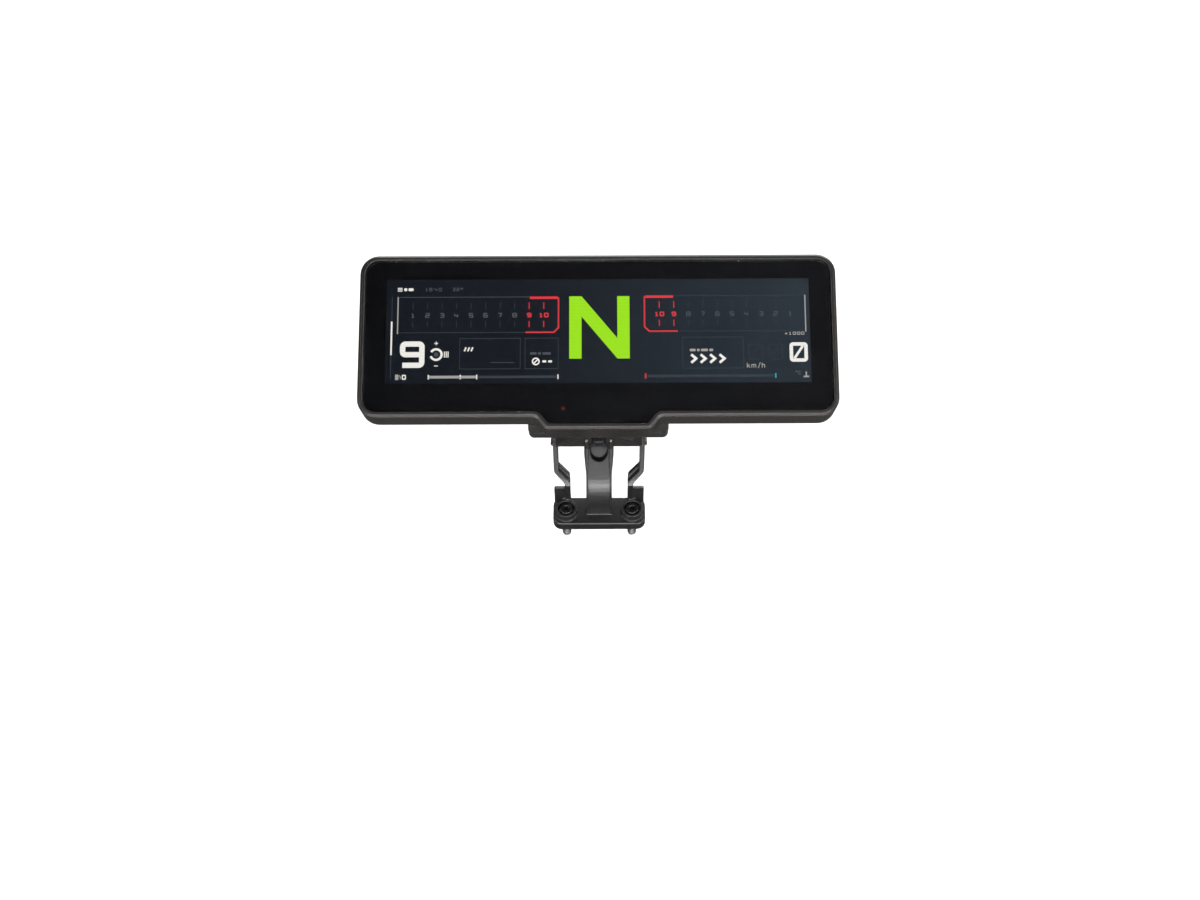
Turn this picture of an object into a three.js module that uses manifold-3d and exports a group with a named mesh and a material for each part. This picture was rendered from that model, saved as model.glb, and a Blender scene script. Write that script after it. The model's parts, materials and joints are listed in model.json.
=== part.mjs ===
// Motorcycle instrument cluster: a wide bonded colour display in a thin black housing, held over the
// handlebar by a cast bracket with a friction-clamped tilt hinge.
// Millimetres, +X to the rider's right, +Y forward, +Z up. The origin is the centre of the bracket's
// base, where it is bolted down square to the steering axis.
import * as THREE from "three";
import { mergeVertices } from "three/addons/utils/BufferGeometryUtils.js";
import Module from "manifold-3d";

const wasm = await Module();
wasm.setup();

// ---- driving dimensions -----------------------------------------------------------------------
// Directions in the display's own frame: u right, v up the screen, w out of the glass.
const SCREEN_CENTRE = [0, -25.2, 129.1];
const SCREEN_LEAN = THREE.MathUtils.degToRad(49);
const STEERING_RAKE = THREE.MathUtils.degToRad(24.7);

const ACTIVE = { halfWidth: 109.44, halfHeight: 27.36 };
const FACE = { halfWidth: 124.15, top: 40.8, bottom: -46.3, corner: 10 };
const CHIN = { shoulder: 32.2, toe: 26.8, bottom: -52.8, shoulderRadius: 4, toeRadius: 3 };
const CHIN_SLOPE = Math.atan2(FACE.bottom - CHIN.bottom, CHIN.shoulder - CHIN.toe);
const RIM = { width: 3, proud: 0.8, chamfer: 1.3 };
const BEZEL = { back: -17.2, wall: 2.6, ledgeFront: -3, ledgeBack: -4.6, postBack: -12.6 };
const LEDGE_WINDOW = { halfWidth: 113.8, low: -35.7, high: 31.1 };
const REAR = { plateInner: -15.4, plateOuter: -17, rim: 2.9, rimWall: 1.8, rimFront: -13 };
const BLOCK = { halfWidth: 36.8, bottom: -51, top: 15, front: -17.5, back: -28 };
const HOLLOW = { halfWidth: 34.8, low: -49, high: 13, back: -26, stepLow: -41.4, stepBack: -19.4 };
const SENSOR = { u: -18, v: -41.4, window: 1.1, ledgeHole: 2.2, radius: 1.6, front: -3.4, back: -6.1 };
const GAP = 0.3;
const THROUGH = 1;

// The flat layers behind the glass, from front to back.
const LAYER = {
  inkBorder: { front: -2.05, back: -2.2, outerInset: 3.3, overlap: 0.7 },
  gasket: { front: -2.45, back: -2.75, outerInset: 3.5, innerInset: 6.2 },
  polariser: { halfWidth: 111.2, low: -29.6, high: 28.9, front: -2.45, back: -2.65 },
  panel: { halfWidth: 111.8, low: -32.5, high: 29.3, front: -2.9, back: -3.9 },
  diffuser: { halfWidth: 111.6, low: -32.3, high: 29.2, front: -4.15, back: -4.5 },
  lightGuide: { halfWidth: 111.4, low: -29.2, high: 29.1, front: -4.75, back: -6.5 },
  reflector: { halfWidth: 111.6, low: -32.3, high: 29.2, front: -6.75, back: -6.95 },
  pan: { halfWidth: 113.3, low: -35.2, high: 30.6, front: -2.8, back: -7.8, floor: -7.2 },
  chassis: { halfWidth: 112.5, low: -35.4, high: 30.8, front: -8.1, back: -9.3, standoff: -10.6 },
};
const GLASS = { thickness: 1.8, edge: 0.25 };
const LED = { count: 14, pitch: 15, half: 1.8, low: -30.7, high: -29.5, front: -5, back: -6.2 };
const LED_BOARD = { halfWidth: 108, low: -31.6, high: -30.6 };

const SCREW = { shank: 1.3, head: 2.5, headHeight: 1.8, socket: 1.1 };
const POST_RADIUS = 2.5;
const POSTS = [
  [116.8, 31.5], [42, 33.7], [-42, 33.7], [-116.8, 31.5],
  [-116.8, -37.5], [-62, -38.4], [62, -38.4], [116.8, -37.5],
];
const BOARD = { halfWidth: 88, low: -30, high: 26, front: -10.9, back: -12.4 };
const THERMAL_PAD = [-67, -49, -7, 11, -15.1, -14.3];
const CAPACITOR = { v: -22, radius: 4, height: 9, places: [4, 14] };
const BOARD_SCREWS = [[80, 20], [-80, 20], [-80, -24], [80, -24]];

const SOCKET = { halfWidth: 20, halfHeight: 10, innerWidth: 18, innerHeight: 8, floor: -24, mouth: -42 };
const FLANGE = { rim: 3, front: -22.6, back: -24.8 };
const SEAL = { halfWidth: 22, halfHeight: 12, front: -25.1, back: -25.8 };
const PINS = { columns: 8, pitch: 3.8, row: 3, half: 0.6, tip: -31, root: -25, base: 1.6 };
const PIN_BASE = { baseWidth: 17, baseHeight: 7 };
const VENT = { u: 41.5, v: 20, radius: 4, front: -15.8, back: -17.8 };
const CARRIER = { halfWidth: 34, low: -49.5, high: -14, front: -28.3, back: -31.5 };
const CARRIER_SCREWS = [[27.5, -42], [-27.5, -42], [-27.5, -20], [27.5, -20]];
const HINGE = { v: -38, w: -42, pin: 4, bore: 4.06, barrel: 8, barrelHalf: 10 };
const LUG = { inner: 11.2, outer: 16.2 };
const CLAMP = { w: -51.5, shank: 2.5, head: 4.1, headHeight: 4, length: 11.5 };

const BAR_Y = 21.8;
const SHEET = { centreZ: 17.5, outer: 29, inner: 23.5, web: 26.6, straightFrom: 149, top: 49.6 };
const SPINE = { half: 7.2, topHalf: 8.3, floor: 28.2, flareLow: 30, flareHigh: 40 };
const SPINE_RIB = { inner: 5.75, outer: 7.5, lowInner: 6.4 };
const POCKET = { half: 4.9, low: 36.6, floor: 24.7 };
const ARM = { outer: 26, inner: 23, lowOuter: 18.9, lowInner: 16, kneeHigh: 31.8, kneeLow: 25.6, foot: 5 };
const ARM_WEB = { gussetHigh: 35.2, gussetLow: 29.4, gussetFoot: 22, outer: 25.2, top: 21.5 };
const CROSSBAR = { half: 27, low: 44.6, endHigh: 45.9, flatHalf: 9 };
const FOOT = { half: 26, back: -8, front: 10.5, thick: 6, screwX: 18.6 };
const BOSS = { radius: 6.2, height: 10.4, seat: 5.8, sinkRadius: 4.7 };
const BASE_SCREW = { shank: 2.5, head: 3.8, headHeight: 3.2, socket: 1.7, length: 21 };

// ---- shapes and solids ------------------------------------------------------------------------
// A closed outline of straight runs and tangent arcs; each corner is [x, y, radius].
function outline(corners) {
  const shape = new THREE.Shape();
  corners.forEach(([x, y, radius], i) => {
    const corner = new THREE.Vector2(x, y);
    const [before, after] = [corners.at(i - 1), corners[(i + 1) % corners.length]].map(
      (p) => new THREE.Vector2(p[0], p[1]).sub(corner).normalize(),
    );
    const reach = (px, py) => (i ? shape.lineTo(px, py) : shape.moveTo(px, py));
    if (!radius) return reach(x, y);
    const half = before.angleTo(after) / 2;
    const centre = before.clone().add(after).setLength(radius / Math.sin(half)).add(corner);
    const reachOfArc = radius / Math.tan(half);
    const touches = [before, after].map((d) => d.clone().multiplyScalar(reachOfArc).add(corner));
    const [from] = touches;
    const [start, end] = touches.map((touch) => touch.clone().sub(centre).angle());
    reach(from.x, from.y);
    return shape.absarc(centre.x, centre.y, radius, start, end, before.cross(after) > 0);
  });
  return shape;
}

const rectangle = (x0, y0, x1, y1, radius = 0) =>
  outline([[x0, y0, radius], [x1, y0, radius], [x1, y1, radius], [x0, y1, radius]]);

// The front outline of the display, moved inwards by the given inset.
function faceOutline(inset) {
  const side = FACE.halfWidth - inset;
  const shift = inset * Math.tan(CHIN_SLOPE / 2);
  const corner = FACE.corner - inset;
  const half = [
    [side, FACE.top - inset, corner],
    [-side, FACE.top - inset, corner],
    [-side, FACE.bottom + inset, corner],
    [-CHIN.shoulder + shift, FACE.bottom + inset, CHIN.shoulderRadius + inset / 2],
    [-CHIN.toe + shift, CHIN.bottom + inset, Math.max(CHIN.toeRadius - inset, 0.6)],
  ];
  const mirrored = half.slice(2).reverse().map(([x, y, r]) => [-x, y, r]);
  return outline([...half, ...mirrored]);
}

const ARC_STEPS = 3;

// A flat shape made solid between two heights, with an optional chamfer inside its outline.
function slab(shape, low, high, chamfer = 0, curveSegments = ARC_STEPS) {
  const [bottom, top] = low < high ? [low, high] : [high, low];
  return new THREE.ExtrudeGeometry(shape, {
    depth: top - bottom - 2 * chamfer,
    bevelEnabled: chamfer > 0,
    bevelThickness: chamfer,
    bevelSize: chamfer,
    bevelOffset: -chamfer,
    bevelSegments: 1,
    curveSegments,
  }).translate(0, 0, bottom + chamfer);
}

// A round bar along Z; a cone when the second radius differs.
function rod(radius, low, high, x = 0, y = 0, sides = 16, topRadius = radius) {
  return new THREE.CylinderGeometry(topRadius, radius, Math.abs(high - low), sides)
    .rotateX(Math.PI / 2)
    .translate(x, y, (low + high) / 2);
}

const box = (x0, x1, y0, y1, z0, z1) => slab(rectangle(x0, y0, x1, y1), z0, z1);

// The same shapes laid out to run along X: local x and y become Y and Z.
const alongX = (geometry) => geometry.applyMatrix4(new THREE.Matrix4().set(
  0, 0, 1, 0,
  1, 0, 0, 0,
  0, 1, 0, 0,
  0, 0, 0, 1,
));

// A front-view shape, local x and y becoming X and Z, that runs through the whole depth.
const FRONT_DEPTH = 60;
const frontView = (shape, steps = 1) => slab(shape, -FRONT_DEPTH, FRONT_DEPTH, 0, steps).rotateX(Math.PI / 2);

function solid(geometry) {
  const bare = new THREE.BufferGeometry().setAttribute("position", geometry.getAttribute("position"));
  bare.setIndex(geometry.index);
  const merged = mergeVertices(bare, 1e-4);
  return new wasm.Manifold(new wasm.Mesh({
    numProp: 3,
    vertProperties: merged.attributes.position.array,
    triVerts: new Uint32Array(merged.index.array),
  }));
}

const asSolid = (item) => (item.isBufferGeometry ? solid(item) : item);
const join = (first, ...rest) => rest.reduce((a, b) => a.add(asSolid(b)), asSolid(first));
const cut = (first, ...rest) => rest.reduce((a, b) => a.subtract(asSolid(b)), asSolid(first));
const common = (first, second) => asSolid(first).intersect(asSolid(second));

function geometryOf(item) {
  if (item.isBufferGeometry) return item;
  const mesh = item.getMesh();
  const geometry = new THREE.BufferGeometry()
    .setAttribute("position", new THREE.BufferAttribute(new Float32Array(mesh.vertProperties), 3))
    .setIndex(new THREE.BufferAttribute(new Uint32Array(mesh.triVerts), 1))
    .toNonIndexed();
  geometry.computeVertexNormals();
  return geometry;
}

// A socket-head screw along Z: its head above z = 0, its shank below.
function screw({ head, headHeight, shank, socket, length, sides = 12 }) {
  const crown = headHeight * 0.3;
  const body = join(
    rod(shank, -length, 0.1, 0, 0, sides),
    rod(head, 0, headHeight - crown, 0, 0, sides),
    rod(head, headHeight - crown - 0.01, headHeight, 0, 0, sides, head * 0.86),
  );
  return cut(body, rod(socket, headHeight * 0.4, headHeight + 1, 0, 0, 6));
}

// A square-section ring that stands in a round hole or round a screw.
const washer = (inner, outer, low, high, sides = 18) =>
  cut(rod(outer, low, high, 0, 0, sides), rod(inner, low - 1, high + 1, 0, 0, sides));

// ---- finishes ---------------------------------------------------------------------------------
const FINISH = {
  blackPaint: [0x3a3735, 0.5, 0.3],
  castBlack: [0x1c1b1b, 0.55, 0.4],
  glass: [0x0b0c0f, 0.05, 0],
  ink: [0x08090b, 0.4, 0],
  film: [0x14171c, 0.3, 0],
  clearPlastic: [0xdfe6ea, 0.15, 0],
  whiteFilm: [0xf0f0ee, 0.6, 0],
  sheetSteel: [0xa9acae, 0.35, 0.9],
  diecast: [0x8f9294, 0.45, 0.8],
  circuitBoard: [0x14502f, 0.5, 0],
  copperFilm: [0xb0702c, 0.4, 0.2],
  chip: [0x17181a, 0.5, 0],
  pad: [0x8fa3b5, 0.8, 0],
  ferrite: [0x3c3d40, 0.6, 0],
  capacitor: [0xb8bcc0, 0.3, 0.8],
  ledWhite: [0xf6f2d8, 0.4, 0],
  sensorRed: [0x3a120e, 0.2, 0],
  rubber: [0x121212, 0.85, 0],
  blackPlastic: [0x1a1a1b, 0.6, 0],
  pin: [0xc9a24a, 0.25, 1],
  vent: [0xd9d9d6, 0.7, 0],
  blackSteel: [0x202123, 0.4, 0.7],
  zincSteel: [0xb4b7ba, 0.35, 0.9],
  bronze: [0x9a7440, 0.4, 0.8],
};

function piece(parent, name, item, finish) {
  const [color, roughness, metalness] = FINISH[finish];
  const material = new THREE.MeshStandardMaterial({ color, roughness, metalness });
  const mesh = new THREE.Mesh(geometryOf(item), material);
  mesh.name = name;
  parent.add(mesh);
  return mesh;
}

const group = new THREE.Group();
const display = new THREE.Group();
display.position.set(...SCREEN_CENTRE);
display.rotation.x = SCREEN_LEAN;
group.add(display);

// ---- bezel, glass and the screen stack ---------------------------------------------------------
function bezel() {
  const { halfWidth, low, high } = LEDGE_WINDOW;
  const ledgeDepth = [BEZEL.ledgeBack - THROUGH, BEZEL.ledgeFront + THROUGH];
  const shell = cut(
    slab(faceOutline(0), BEZEL.back, RIM.proud, RIM.chamfer),
    slab(faceOutline(RIM.width - GAP), BEZEL.ledgeFront, RIM.proud + THROUGH),
    slab(faceOutline(BEZEL.wall), BEZEL.back - THROUGH, BEZEL.ledgeBack),
    box(-halfWidth, halfWidth, low, high, ...ledgeDepth),
    rod(SENSOR.ledgeHole, ...ledgeDepth, SENSOR.u, SENSOR.v),
  );
  const sink = 0.4;
  const blindEnd = BEZEL.ledgeBack - 1.8;
  const posts = POSTS.map(([u, v]) => rod(POST_RADIUS, BEZEL.postBack, BEZEL.ledgeBack + sink, u, v, 10));
  const holes = POSTS.map(([u, v]) => rod(SCREW.shank + 0.25, BEZEL.postBack - THROUGH, blindEnd, u, v, 8));
  return cut(join(shell, ...posts), ...holes);
}

const ringOf = (outer, inner, low, high) =>
  cut(slab(outer, low, high, 0, 2), slab(inner, low - THROUGH, high + THROUGH, 0, 2));
const flatLayer = ({ halfWidth, low, high, front, back }) =>
  box(-halfWidth, halfWidth, low, high, back, front);

function inkBorder() {
  const { front, back, outerInset, overlap } = LAYER.inkBorder;
  const halfU = ACTIVE.halfWidth + overlap;
  const halfV = ACTIVE.halfHeight + overlap;
  const ring = ringOf(faceOutline(outerInset), rectangle(-halfU, -halfV, halfU, halfV), back, front);
  return cut(ring, rod(SENSOR.window, back - THROUGH, front + THROUGH, SENSOR.u, SENSOR.v, 12));
}

function gasket() {
  const { front, back, outerInset, innerInset } = LAYER.gasket;
  return ringOf(faceOutline(outerInset), faceOutline(innerInset), back, front);
}

piece(display, "front_bezel", bezel(), "blackPaint");
piece(display, "cover_glass", slab(faceOutline(RIM.width), -GLASS.thickness, 0, GLASS.edge), "glass");
piece(display, "glass_gasket", gasket(), "rubber");
piece(display, "ink_border", inkBorder(), "ink");
piece(display, "front_polariser", flatLayer(LAYER.polariser), "film");
piece(display, "lcd_panel", flatLayer(LAYER.panel), "film");
piece(display, "diffuser_sheet", flatLayer(LAYER.diffuser), "whiteFilm");
piece(display, "light_guide", flatLayer(LAYER.lightGuide), "clearPlastic");
piece(display, "reflector_sheet", flatLayer(LAYER.reflector), "whiteFilm");

const leds = Array.from({ length: LED.count }, (_, i) => {
  const u = (i - (LED.count - 1) / 2) * LED.pitch;
  return box(u - LED.half, u + LED.half, LED.low, LED.high, LED.back, LED.front);
});
const { front: guideFront, back: guideBack } = LAYER.lightGuide;
const ledBoard = flatLayer({ ...LED_BOARD, front: guideFront, back: guideBack });
piece(display, "led_strip", join(ledBoard, ...leds), "ledWhite");

// A shallow tray whose lower wall is notched for the display ribbon.
function backlightPan() {
  const { halfWidth, low, high, front, back, floor } = LAYER.pan;
  const wall = 0.9;
  return cut(
    slab(rectangle(-halfWidth, low, halfWidth, high, 1), back, front),
    box(wall - halfWidth, halfWidth - wall, low + 2, high - wall + 0.2, floor, front + THROUGH),
    box(-13, 13, low + 0.8, low + 2.2, back - THROUGH, front + THROUGH),
  );
}
piece(display, "backlight_pan", backlightPan(), "sheetSteel");

// ---- chassis, boards and what is on them --------------------------------------------------------
function chassis() {
  const { halfWidth, low, high, front, back, standoff } = LAYER.chassis;
  const through = [back - 2, front + THROUGH];
  const plate = slab(rectangle(-halfWidth, low, halfWidth, high, 3), back, front);
  const standoffs = BOARD_SCREWS.map(([u, v]) => rod(3.2, standoff, back + GAP, u, v, 14));
  const ribs = [-27, 27].map((u) => box(u - 0.8, u + 0.8, low + 1.4, high - 0.8, back - 1.1, back + GAP));
  const windows = [-72, 72].flatMap((u) => [
    slab(rectangle(u - 32, 3, u + 32, 25, 4), ...through),
    slab(rectangle(u - 32, -27, u + 32, -5, 4), ...through),
  ]);
  const holes = BOARD_SCREWS.map(([u, v]) => rod(1.5, standoff - THROUGH, front + THROUGH, u, v, 10));
  const ribbonSlot = box(-14, 14, low + 0.8, low + 4.4, ...through);
  return cut(join(plate, ...standoffs, ...ribs), ...windows, ...holes, ribbonSlot);
}

function mainBoard() {
  const outlineShape = rectangle(-BOARD.halfWidth, BOARD.low, BOARD.halfWidth, BOARD.high, 3);
  const holes = BOARD_SCREWS.map(([u, v]) => rod(1.7, BOARD.back - THROUGH, BOARD.front + THROUGH, u, v, 12));
  return cut(slab(outlineShape, BOARD.back, BOARD.front), ...holes);
}

// The flat cable from the panel's lower edge, through the pan and chassis, round to the board.
function ribbon() {
  const thickness = 0.3;
  const bend = 1.6;
  const halfWidth = 11;
  const run = { front: LAYER.panel.back, back: BOARD.back - 0.55, low: -33.6, high: -27.5 };
  const path = outline([
    [run.front, run.low, 0],
    [run.back, run.low, bend],
    [run.back, run.high, 0],
    [run.back + thickness, run.high, 0],
    [run.back + thickness, run.low + thickness, bend - thickness],
    [run.front, run.low + thickness, 0],
  ]);
  // local x is depth w, local y is height v, and the strip's width runs across u
  return slab(path, -halfWidth, halfWidth).applyMatrix4(new THREE.Matrix4().set(
    0, 0, -1, 0,
    0, 1, 0, 0,
    1, 0, 0, 0,
    0, 0, 0, 1,
  ));
}

const COMPONENT_FRONT = BOARD.back - GAP;
function chipBox(u, v, halfU, halfV, height) {
  const shape = rectangle(u - halfU, v - halfV, u + halfU, v + halfV);
  return slab(shape, COMPONENT_FRONT - height, COMPONENT_FRONT, 0.15);
}

piece(display, "chassis_frame", chassis(), "diecast");
piece(display, "display_ribbon", ribbon(), "copperFilm");
piece(display, "main_board", mainBoard(), "circuitBoard");
piece(display, "processor", chipBox(-58, 2, 10, 10, 1.3), "chip");
piece(display, "thermal_pad", box(...THERMAL_PAD), "pad");
piece(display, "memory_chip", chipBox(-58, -18, 7, 5, 1.1), "chip");
piece(display, "power_inductor", chipBox(-25, -19, 6, 6, 6.5), "ferrite");
CAPACITOR.places.forEach((u, i) => {
  const can = rod(CAPACITOR.radius, COMPONENT_FRONT - CAPACITOR.height, COMPONENT_FRONT, u, CAPACITOR.v, 16);
  piece(display, "capacitor_" + (i + 1), can, "capacitor");
});
piece(
  display,
  "sensor_board",
  box(SENSOR.u - 8, SENSOR.u + 8, SENSOR.v - 2.2, SENSOR.v + 5.2, -7.4, -6.4),
  "circuitBoard",
);
const sensorRod = rod(SENSOR.radius, SENSOR.back, SENSOR.front, SENSOR.u, SENSOR.v, 12);
piece(display, "light_sensor", sensorRod, "sensorRed");

// ---- connector ----------------------------------------------------------------------------------
const pins = Array.from({ length: PINS.columns }, (_, i) => {
  const u = (i - (PINS.columns - 1) / 2) * PINS.pitch;
  const { half, tip, root } = PINS;
  return [-PINS.row, PINS.row].map((v) => box(u - half, u + half, v - half, v + half, tip, root));
}).flat();
const { baseWidth, baseHeight } = PIN_BASE;
const baseFront = SOCKET.floor - GAP;
const pinBase = box(-baseWidth, baseWidth, -baseHeight, baseHeight, baseFront - PINS.base, baseFront);
piece(display, "pin_header", join(pinBase, ...pins), "pin");

// A shroud with a flange inside the housing and a latch ramp on its upper side.
function connectorSocket() {
  const { halfWidth, halfHeight, innerWidth, innerHeight, floor, mouth } = SOCKET;
  const shroud = slab(rectangle(-halfWidth, -halfHeight, halfWidth, halfHeight, 3), mouth, COMPONENT_FRONT);
  const [flangeWidth, flangeHeight] = [halfWidth + FLANGE.rim, halfHeight + FLANGE.rim];
  const flangeOutline = rectangle(-flangeWidth, -flangeHeight, flangeWidth, flangeHeight, 4);
  const flange = slab(flangeOutline, FLANGE.back, FLANGE.front);
  const latch = box(-4, 4, halfHeight - THROUGH, halfHeight + 2, mouth + 6, mouth + 10);
  return cut(
    join(shroud, flange, latch),
    slab(rectangle(-innerWidth, -innerHeight, innerWidth, innerHeight, 1.5), mouth - THROUGH, floor),
    box(-baseWidth, baseWidth, -baseHeight, baseHeight, floor + 3, COMPONENT_FRONT + THROUGH),
  );
}
piece(display, "connector_socket", connectorSocket(), "blackPlastic");

const SHROUD_HOLE = rectangle(
  -SOCKET.halfWidth - GAP, -SOCKET.halfHeight - GAP, SOCKET.halfWidth + GAP, SOCKET.halfHeight + GAP, 3,
);
const sealOutline = rectangle(-SEAL.halfWidth, -SEAL.halfHeight, SEAL.halfWidth, SEAL.halfHeight, 4);
piece(display, "connector_seal", ringOf(sealOutline, SHROUD_HOLE, SEAL.back, SEAL.front), "rubber");

// ---- rear housing -------------------------------------------------------------------------------
const FIN = { first: 47, pitch: 9, count: 7, half: 1, depth: 3.6, low: -27, high: 24 };

function rearHousing() {
  const rimInner = REAR.rim + REAR.rimWall;
  const { halfWidth, low, high, back, stepLow, stepBack } = HOLLOW;
  const bossDepth = [REAR.plateInner - 0.2, REAR.rimFront + 0.1];
  const bosses = POSTS.map(([u, v]) => rod(POST_RADIUS, ...bossDepth, u, v, 10));
  const fins = [-1, 1].flatMap((side) =>
    Array.from({ length: FIN.count }, (_, i) => {
      const u = side * (FIN.first + i * FIN.pitch);
      const tip = REAR.plateOuter - FIN.depth;
      return box(u - FIN.half, u + FIN.half, FIN.low, FIN.high, tip, REAR.plateOuter + 0.2);
    }),
  );
  const blockSlab = (bottom, from, to, chamfer = 0) =>
    slab(rectangle(-BLOCK.halfWidth, bottom, BLOCK.halfWidth, BLOCK.top, 3), from, to, chamfer);
  const shell = join(
    slab(faceOutline(REAR.rim), REAR.plateOuter, REAR.rimFront),
    blockSlab(stepLow - 1.9, BLOCK.front - 2.5, BLOCK.front + 1.5),
    blockSlab(BLOCK.bottom, BLOCK.back, BLOCK.front, 1),
  );
  const hollow = join(
    slab(faceOutline(rimInner), REAR.plateInner, REAR.rimFront + THROUGH),
    box(-halfWidth, halfWidth, stepLow, high, back, REAR.plateInner + THROUGH),
    box(-halfWidth, halfWidth, low, high, back, stepBack),
  );
  const carrierBosses = CARRIER_SCREWS.map(([u, v]) => rod(4.6, back - THROUGH, stepBack - 0.1, u, v, 12));
  const carrierHoles = CARRIER_SCREWS.map(([u, v]) => rod(2.25, BLOCK.back - THROUGH, -20.5, u, v, 12));
  const postDepth = [REAR.plateOuter - THROUGH, REAR.rimFront + THROUGH];
  const postHoles = POSTS.map(([u, v]) => rod(SCREW.shank + 0.35, ...postDepth, u, v, 8));
  return cut(
    join(cut(shell, hollow), ...bosses, ...fins, ...carrierBosses),
    ...carrierHoles,
    ...postHoles,
    slab(SHROUD_HOLE, BLOCK.back - THROUGH, back + THROUGH),
    rod(VENT.radius + GAP, REAR.plateOuter - THROUGH, REAR.plateInner + 0.4, VENT.u, VENT.v, 18),
  );
}

const ventDisc = new THREE.Shape().absarc(VENT.u, VENT.v, VENT.radius, 0, 2 * Math.PI);
const housingGasket = ringOf(faceOutline(REAR.rim), faceOutline(REAR.rim + 1.15), -12.7, -11.9);
piece(display, "rear_housing", rearHousing(), "castBlack");
piece(display, "housing_gasket", housingGasket, "rubber");
piece(display, "pressure_vent", slab(ventDisc, VENT.back, VENT.front, 0.4), "vent");

const facingBack = (geometry) => geometryOf(geometry).rotateX(Math.PI);
POSTS.forEach(([u, v], i) => {
  const shape = screw({ ...SCREW, length: 7 });
  const mesh = piece(display, "housing_screw_" + (i + 1), facingBack(shape), "blackSteel");
  mesh.position.set(u, v, REAR.plateOuter - 0.2);
});
BOARD_SCREWS.forEach(([u, v], i) => {
  const shape = screw({ ...SCREW, shank: 1.2, headHeight: 1.4, length: 3.4, sides: 8 });
  const mesh = piece(display, "board_screw_" + (i + 1), facingBack(shape), "zincSteel");
  mesh.position.set(u, v, BOARD.back - 0.2);
});

// ---- tilt carrier and hinge ---------------------------------------------------------------------
// A side-view outline in the display's frame, local x and y becoming v and w, run across u.
const acrossDisplay = (shape, from, to) => alongX(slab(shape, from, to));
const pinRod = (radius, from, to, sides) => alongX(rod(radius, from, to, HINGE.v, HINGE.w, sides));

function carrier() {
  const plate = slab(
    rectangle(-CARRIER.halfWidth, CARRIER.low, CARRIER.halfWidth, CARRIER.high, 5),
    CARRIER.back,
    CARRIER.front,
    0.5,
  );
  const lugSide = outline([
    [CARRIER.low + 3, CARRIER.back + 0.6, 0],
    [HINGE.v - HINGE.barrel, HINGE.w - HINGE.barrel, HINGE.barrel - 0.2],
    [HINGE.v + HINGE.barrel, HINGE.w - HINGE.barrel, HINGE.barrel - 0.2],
    [HINGE.v + HINGE.barrel + 7, CARRIER.back + 0.6, 0],
  ]);
  const lugs = [-1, 1].map((side) => acrossDisplay(lugSide, side * LUG.inner, side * LUG.outer));
  const stiffeners = [-27.5, 27.5].map((u) => box(u - 1.2, u + 1.2, -35.6, -26.4, -33.6, -31));
  const holes = CARRIER_SCREWS.map(([u, v]) => rod(4.6, -40, -25, u, v, 14));
  return cut(
    join(plate, ...lugs, ...stiffeners),
    ...holes,
    pinRod(HINGE.pin + 0.2, -20, 20, 24),
    slab(rectangle(-9, -24, 9, -18, 2.5), -40, -25),
  );
}

const bushingProfile = [
  [2.6, -32.8], [6, -32.8], [6, -31.8], [4.3, -31.8], [4.3, -28.25], [2.6, -28.25], [2.6, -32.8],
].map(([radius, w]) => new THREE.Vector2(radius, w));

piece(display, "tilt_carrier", carrier(), "castBlack");
CARRIER_SCREWS.forEach(([u, v], i) => {
  const bushing = new THREE.LatheGeometry(bushingProfile, 14).rotateX(Math.PI / 2);
  piece(display, "carrier_bushing_" + (i + 1), bushing, "rubber").position.set(u, v, 0);
  const shape = screw({ head: 4.6, headHeight: 2.8, shank: 2, socket: 1.6, length: 10, sides: 14 });
  piece(display, "carrier_screw_" + (i + 1), facingBack(shape), "blackSteel").position.set(u, v, -33);
});
piece(
  display,
  "pivot_bolt",
  cut(
    join(pinRod(HINGE.pin, -LUG.outer - 0.5, 22.5, 32), pinRod(6.5, -LUG.outer - 5, -LUG.outer - 0.3, 24)),
    pinRod(2.6, -LUG.outer - 6, -LUG.outer - 2.4, 6),
  ),
  "blackSteel",
);
piece(
  display,
  "pivot_nut",
  cut(pinRod(7.2, LUG.outer + 0.3, LUG.outer + 5, 6), pinRod(HINGE.pin + 0.2, 10, 30, 24)),
  "blackSteel",
);

// ---- bracket ------------------------------------------------------------------------------------
// Front-view shapes run this far past the side view that trims them.
const BEYOND = 5;

// Side view of the curved sheet that the ribs are cut from: it wraps the rider's side of the handlebar
// and then runs straight up to the neck. Local x and y are Y and Z.
const polar = (radius, degrees) => {
  const angle = THREE.MathUtils.degToRad(degrees);
  return [BAR_Y + radius * Math.cos(angle), SHEET.centreZ + radius * Math.sin(angle)];
};

function sheetSide(outer, inner, lowest, footBack, footFront) {
  const radians = THREE.MathUtils.degToRad;
  const rise = radians(SHEET.straightFrom - 90);
  const upTo = ([y, z]) => [y + (SHEET.top - z) / Math.tan(rise), SHEET.top];
  const shape = new THREE.Shape();
  shape.absarc(BAR_Y, SHEET.centreZ, outer, radians(lowest), radians(SHEET.straightFrom), true);
  shape.lineTo(...upTo(polar(outer, SHEET.straightFrom)));
  shape.lineTo(...upTo(polar(inner, SHEET.straightFrom)));
  shape.absarc(BAR_Y, SHEET.centreZ, inner, radians(SHEET.straightFrom), radians(lowest), false);
  shape.lineTo(...footFront);
  shape.lineTo(...footBack);
  return shape;
}

const spineSide = (outer) => sheetSide(outer, SHEET.inner, 198, [-3.5, 3.5], [1.5, 4.5]);
const armSide = (outer, inner = SHEET.inner) => sheetSide(outer, inner, 166, [4.05, 6.3], [7.6, 7.9]);
const acrossBracket = (shape, from, to) => alongX(slab(shape, from, to, 0, 5));

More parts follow.
